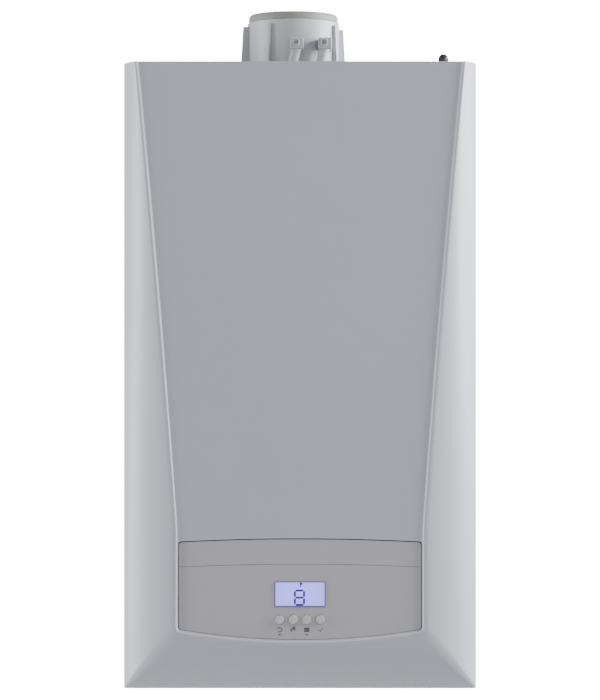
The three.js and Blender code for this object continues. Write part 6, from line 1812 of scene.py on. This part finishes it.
def pump():
    """The pump: its housing, its finned motor and its wheel."""
    pump_housing()
    back, length, fins_radius, rim, shaft = -(PUMP_FRONT + SEAT), 0.054, 0.036, 0.04, 0.003
    front = back - length
    profile = [(0, front), (0.024, front), (0.0252, front + 0.001), (0.0252, front + 0.003),
               (0.034, front + 0.004), (fins_radius, front + 0.007), (fins_radius, back - 0.004),
               (rim - 0.0005, back - 0.003), (rim, back - 0.0025), (rim, back), (shaft, back),
               (shaft, -SHAFT_FOOT), (0, -SHAFT_FOOT)]
    motor = lathe("motor_case", profile, PUMP_CENTRE, "Y")
    fin_length = 0.027
    fin = rounded_box("fin", Vector((-0.003, -0.0009, 0)), Vector((0.0029, 0.0009, fin_length)), 0.0006, 2)
    fins = repeated("motor_fins", fin, FINISHES["cast_aluminium"], count=24, radius=fins_radius)
    shifted(fins, PUMP_CENTRE + Vector((0, back - (length + fin_length) / 2, 0)), -math.pi / 2, "X")
    settled("pump_motor", "pump_motor_case", [motor, fins])
    bladed_wheel("pump_impeller", PUMP_CENTRE, 0.028, 0.0064, -SHAFT_FOOT, 0.012, 6)
    places = [PUMP_CENTRE + Vector((x, front + 0.004, z)) for x, z in on_circle(0.0302, (45, 135, 225, 315))]
    screws("pump_motor_screws", places, "chassis", "stainless", 0.0026)


def lobed_knob(name, radius, length, lobes, lobe_radius):
    """A grip with rounded lobes, its face at the origin and its length on Z."""
    outline = []
    steps = 144
    for i in range(steps):
        angle = 2 * math.pi * i / steps
        near = abs((angle * lobes / (2 * math.pi) + 0.5) % 1 - 0.5) * 2
        swell = (0.5 + 0.5 * math.cos(math.pi * near)) ** 0.7
        outline.append((angle, radius - 0.0006 + lobe_radius * 0.92 * swell))
    rings = []
    edge = 0.0016
    shrink = [(0, 0.86), (edge * 0.15, 0.93), (edge * 0.5, 0.975), (edge, 1), (length * 0.62, 1),
              (length * 0.66, 0.97), (length * 0.7, 0.82)]
    for along, factor in shrink:
        rings.append([Vector((r * factor * math.cos(a), r * factor * math.sin(a), along))
                      for a, r in outline])
    grip = skinned(name, rings)
    skirt = lathe("skirt", rounded_ends(radius, length * 0.4, 0.0008), (0, 0, length * 0.6), steps=64)
    dimple = [(0, -0.001), (radius * 0.5, -0.001), (radius * 0.45, 0.0012), (0, 0.0016)]
    fused(grip, skirt)
    return cut(grip, lathe("dimple", dimple, steps=48))


def knobs():
    """The lobed knobs of the relief valve and the filling valve."""
    relief = Vector((RELIEF_X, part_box("relief_valve_knob")[0].y, FLOOR + RELIEF_HEIGHT))
    filling = Vector((PIPE_PITCH, -FILL_DEPTH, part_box("filling_valve_knob")[0].z))
    for name, radius, length, place, axis in (("relief", 0.011, 0.015, relief, (0, 1, 0)),
                                              ("filling", 0.012, 0.013, filling, (0, 0, 1))):
        knob = turned_to(lobed_knob(f"{name}_grip", radius, length, 6, 0.003), place, axis)
        placed(shaded(knob, 40), f"{name}_valve_knob")


def gauge():
    """The pressure gauge under the floor: a bezel, a pale dial with its scale, and the red needle."""
    base = spot(-0.097, 0.168, 0)
    wall, collar, head, dial_radius, seat = 0.019, 0.022, 0.048, 0.0175, 0.016
    bezel = [(dial_radius, seat), (dial_radius, 0.0128), (0.0181, 0.012), (0.0186, 0.012), (wall, 0.0125),
             (wall, 0.0318), (collar, 0.0318), (collar, 0.0348), (wall, 0.0348), (wall, head - 0.0008),
             (wall - 0.0008, head), (0, head), (0, seat)]
    case = lathe("gauge_case", bezel, base, steps=80)
    pin = lathe("gauge_pin", [(0, 0.0165), (0.0012, 0.0165), (0.0012, 0.013), (0, 0.013)], base, steps=24)
    settled("pressure_gauge", "pressure_gauge_case", [case, pin])
    face, back = 0.0157, 0.0161
    plate = [(0.0014, back), (0.0014, face), (0.0172, face), (0.0172, back)]
    dial = lathe("gauge_dial", plate, base, steps=72)
    added(shaded(dial, 35), "chassis", "white_plastic")
    marks = []
    for i in range(17):
        inner, width = (0.0135, 0.00035) if i % 4 == 0 else (0.0146, 0.0002)
        low, high = Vector((inner, -width, 0.01558)), Vector((0.0162, width, 0.01575))
        mark = rounded_box("mark", low, high, 0.00004, 1)
        marks.append(shifted(mark, base, math.radians(225 - 270 * i / 16)))
    added(joined("gauge_scale", marks), "chassis", "black_plastic")
    foot, ring = 0.014, 0.0026
    outline = [(-0.0014, -0.005), (0.0014, -0.005), (0.0011, 0), (0.0003, 0.0143), (-0.0003, 0.0143),
               (-0.0011, 0)]
    arm = shifted(lofted("needle_arm", outline, (foot, foot + 0.0006)), base)
    hub = [(0.0015, foot), (ring - 0.0002, foot), (ring, foot + 0.0003), (ring, foot + 0.0015),
           (0.0015, foot + 0.0015)]
    settled("gauge_needle", "gauge_needle_blade", [arm, lathe("needle_hub", hub, base, steps=40)])


def saddle(pipe):
    """Cuts a pipe's end to the drum that it is brazed to."""
    return cut(pipe, bore(on_exchanger(0, EXCHANGER_FRONT, 0), on_exchanger(0, EXCHANGER_BACK, 0),
                           EXCHANGER_RADIUS + SEAT, 160))


def risers(bend=0.022):
    """The two main pipes between the water side and the exchanger."""
    middle, pump_depth = (EXCHANGER_BACK + EXCHANGER_FRONT) / 2, (PUMP_FRONT + PUMP_BACK) / 2
    drop = EXCHANGER_HEIGHT - RISER_HEAD + MAIN_RADIUS
    across = math.sqrt(EXCHANGER_RADIUS ** 2 - drop ** 2)
    flow = [spot(FLUE_X - across, middle, RISER_HEAD), spot(-RISER_REACH, middle, RISER_HEAD),
            spot(-RISER_REACH, PIPE_DEPTH, RISER_HEAD - bend * 3),
            spot(-RISER_REACH, PIPE_DEPTH, BOSS_HEAD + SEAT)]
    back = [spot(PUMP_X, pump_depth, PUMP_HEAD + SEAT), spot(PUMP_X, pump_depth, PUMP_HEAD + bend * 2),
            spot(RISER_REACH, pump_depth, PUMP_HEAD + bend * 4),
            spot(RISER_REACH, middle, RISER_HEAD - bend * 2), spot(RISER_REACH, middle, RISER_HEAD),
            spot(FLUE_X + across, middle, RISER_HEAD)]
    for name, route in (("flow", flow), ("return", back)):
        placed(shaded(saddle(tube(name, route, MAIN_RADIUS, bend, sides=40)), 40), f"exchanger_{name}_pipe")


TRAP_X = -0.165
TRAP_DEPTH = 0.152


def condensate(bend=0.03):
    """The condensate trap with its groove and its ribbed grip, and its ringed hose."""
    low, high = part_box("condensate_trap")
    foot, head, radius, outlet, neck = low.z - FLOOR, high.z - FLOOR, 0.022, 0.008, 0.0176
    waist = foot + outlet + (head - foot - outlet) * 0.55
    profile = [(0, foot), (outlet - 0.0006, foot), (outlet, foot + 0.0006), (outlet, foot + outlet),
               (radius - 0.005, foot + outlet * 1.5), (radius - 0.0012, foot + outlet * 2 - 0.002),
               (radius, foot + outlet * 2), (radius, waist - 0.012), (radius - 0.0014, waist - 0.011),
               (radius - 0.0014, waist - 0.0095), (radius, waist - 0.0085), (radius, waist),
               (radius - 0.0012, waist + 0.004), (neck, waist + outlet), (neck, head - outlet - 0.001),
               (0.0165, head - outlet + 0.001), (0.0115, head - 0.0008), (0.0108, head), (0, head)]
    trap = lathe("trap", profile, spot(TRAP_X, TRAP_DEPTH, 0), steps=72)
    ribs = repeated("trap_ribs", rib_form(0.0016, 0.001, 0.012), FINISHES["white_plastic"], count=20,
                    radius=radius - 0.0012)
    shifted(ribs, spot(TRAP_X, TRAP_DEPTH, waist - 0.03))
    settled("condensate_trap", "condensate_trap_moulding", [trap, ribs], 40)
    drain = EXCHANGER_HEIGHT - DRAIN_FOOT - SEAT
    route = [spot(FLUE_X, DRAIN_DEPTH, drain), spot(FLUE_X, DRAIN_DEPTH, drain - bend),
             spot(TRAP_X, TRAP_DEPTH, head + bend * 2), spot(TRAP_X, TRAP_DEPTH, head + SEAT)]
    hose = tube("hose", route, 0.0085, bend, sides=28, swell=(0.0048, 0.055))
    placed(shaded(hose, 60), "condensate_hose")


VESSEL_HALF = 0.15
VESSEL_FOOT = 0.28
VESSEL_HEAD = 0.66
VESSEL_THICKNESS = 0.076
VESSEL_CORNER = 0.06
VESSEL_CROWN = 0.012


def vessel_ring(depth, grow):
    """The vessel's outline at a depth, grown or shrunk by a margin."""
    outline = rounded_outline(-VESSEL_HALF - grow, VESSEL_FOOT - grow, VESSEL_HALF + grow, VESSEL_HEAD + grow,
                              VESSEL_CORNER + grow, 12)
    return [spot(x, depth, z) for x, z in outline]


def vessel(bend=0.03):
    """The flat expansion vessel with its shells, rolled seam and nipple, and the braided hose below."""
    back, crown = SHEET + SEAT, VESSEL_CROWN
    front, middle = back + VESSEL_THICKNESS, back + VESSEL_THICKNESS / 2
    section = arc(back + crown, -crown, crown, 90, 180, 6)[::-1]
    rings = [vessel_ring(depth, inset) for depth, inset in section]
    rings += [vessel_ring(back + front - depth, inset) for depth, inset in section[::-1]]
    seam = [vessel_ring(middle + side * along, grow) for side, along, grow in
            ((-1, 0.0015, 0.0042), (-1, 0.0009, 0.005), (1, 0.0009, 0.005), (1, 0.0015, 0.0042))]
    port = upright("port", HOSE_X, middle, VESSEL_FOOT - 0.01, VESSEL_FOOT + 0.004, 0.008, steps=40)
    nut = hex_nut("port_nut", spot(HOSE_X, middle, VESSEL_FOOT - 0.008),
                  spot(HOSE_X, middle, VESSEL_FOOT - 0.001), 0.0078)
    pieces = [skinned("vessel_drum", rings), skinned("vessel_seam", seam), port, nut]
    settled("expansion_vessel", "expansion_vessel_shells", pieces)
    top = VESSEL_FOOT - 0.01 - SEAT
    route = [spot(HOSE_X, middle, top), spot(HOSE_X, middle, top - bend),
             spot(HOSE_X, HOSE_DEPTH, HOSE_FOOT + bend * 2), spot(HOSE_X, HOSE_DEPTH, HOSE_FOOT + SEAT)]
    hose = tube("flex", route, 0.0048, bend, sides=24, swell=(0.0026, 0.04))
    placed(shaded(hose, 60), "expansion_hose")


VENT_X = 0.164
VENT_DEPTH = 0.18


def air_vent():
    """The automatic air vent: a brass bottle on an arm from the exchanger."""
    rim, wall, neck = 0.013, 0.0121, 0.004
    profile = [(0, 0.64), (rim - 0.0012, 0.64), (rim, 0.6412), (rim, 0.649), (wall, 0.6505), (wall, 0.6805),
               (rim, 0.682), (rim, 0.6888), (rim - 0.0012, 0.69), (neck, 0.69), (neck, 0.7114), (0, 0.7114)]
    bottle = lathe("vent_bottle", profile, spot(VENT_X, VENT_DEPTH, 0), steps=64)
    nut = hex_nut("vent_nut", spot(VENT_X, VENT_DEPTH, 0.632), spot(VENT_X, VENT_DEPTH, 0.6405), 0.0115)
    rise = EXCHANGER_RADIUS / 2
    height = EXCHANGER_HEIGHT + rise
    across = math.sqrt(EXCHANGER_RADIUS ** 2 - (rise + SMALL_RADIUS) ** 2) + FLUE_X
    arm = tube("vent_arm", [spot(VENT_X, VENT_DEPTH, 0.646), spot(VENT_X, VENT_DEPTH, height),
                            spot(across, VENT_DEPTH, height)], SMALL_RADIUS)
    settled("air_vent", "air_vent_bottle", [bottle, nut, saddle(arm)], 40)


def set_all_nodes():
    """Gives every CAD node its finish."""
    for name, obj in NODES.items():
        obj.data.materials.clear()
        obj.data.materials.append(FINISHES[SLOT_OF[name]])


for build in (set_camera, set_light, set_floor, set_all_nodes, front_cover, control_band, front_buttons,
              display, symbols, flue_adaptor):
    build()
for plug in PORT_REACHES:
    test_plug(plug)
for build in (lip_seal, flue_pipe, flue_gasket, air_vent_cap, sheet_metal, control_box, exchanger_shell,
              exchanger_coil, burner_door, burner_tube):
    build()
electrode("spark_electrode", -1)
electrode("flame_sensor", 1)
for build in (exchanger_frame, fan_volute, fan_motor):
    build()
bladed_wheel("fan_impeller", FAN_CENTRE, 0.039, 0.018, -0.2104, 0.0332, 10)
for build in (mixer, air_intake, mixture_duct, gas_valve, gas_feed, connections, plate_exchanger, diverter,
              pump, knobs, gauge, risers, condensate, vessel, air_vent):
    build()
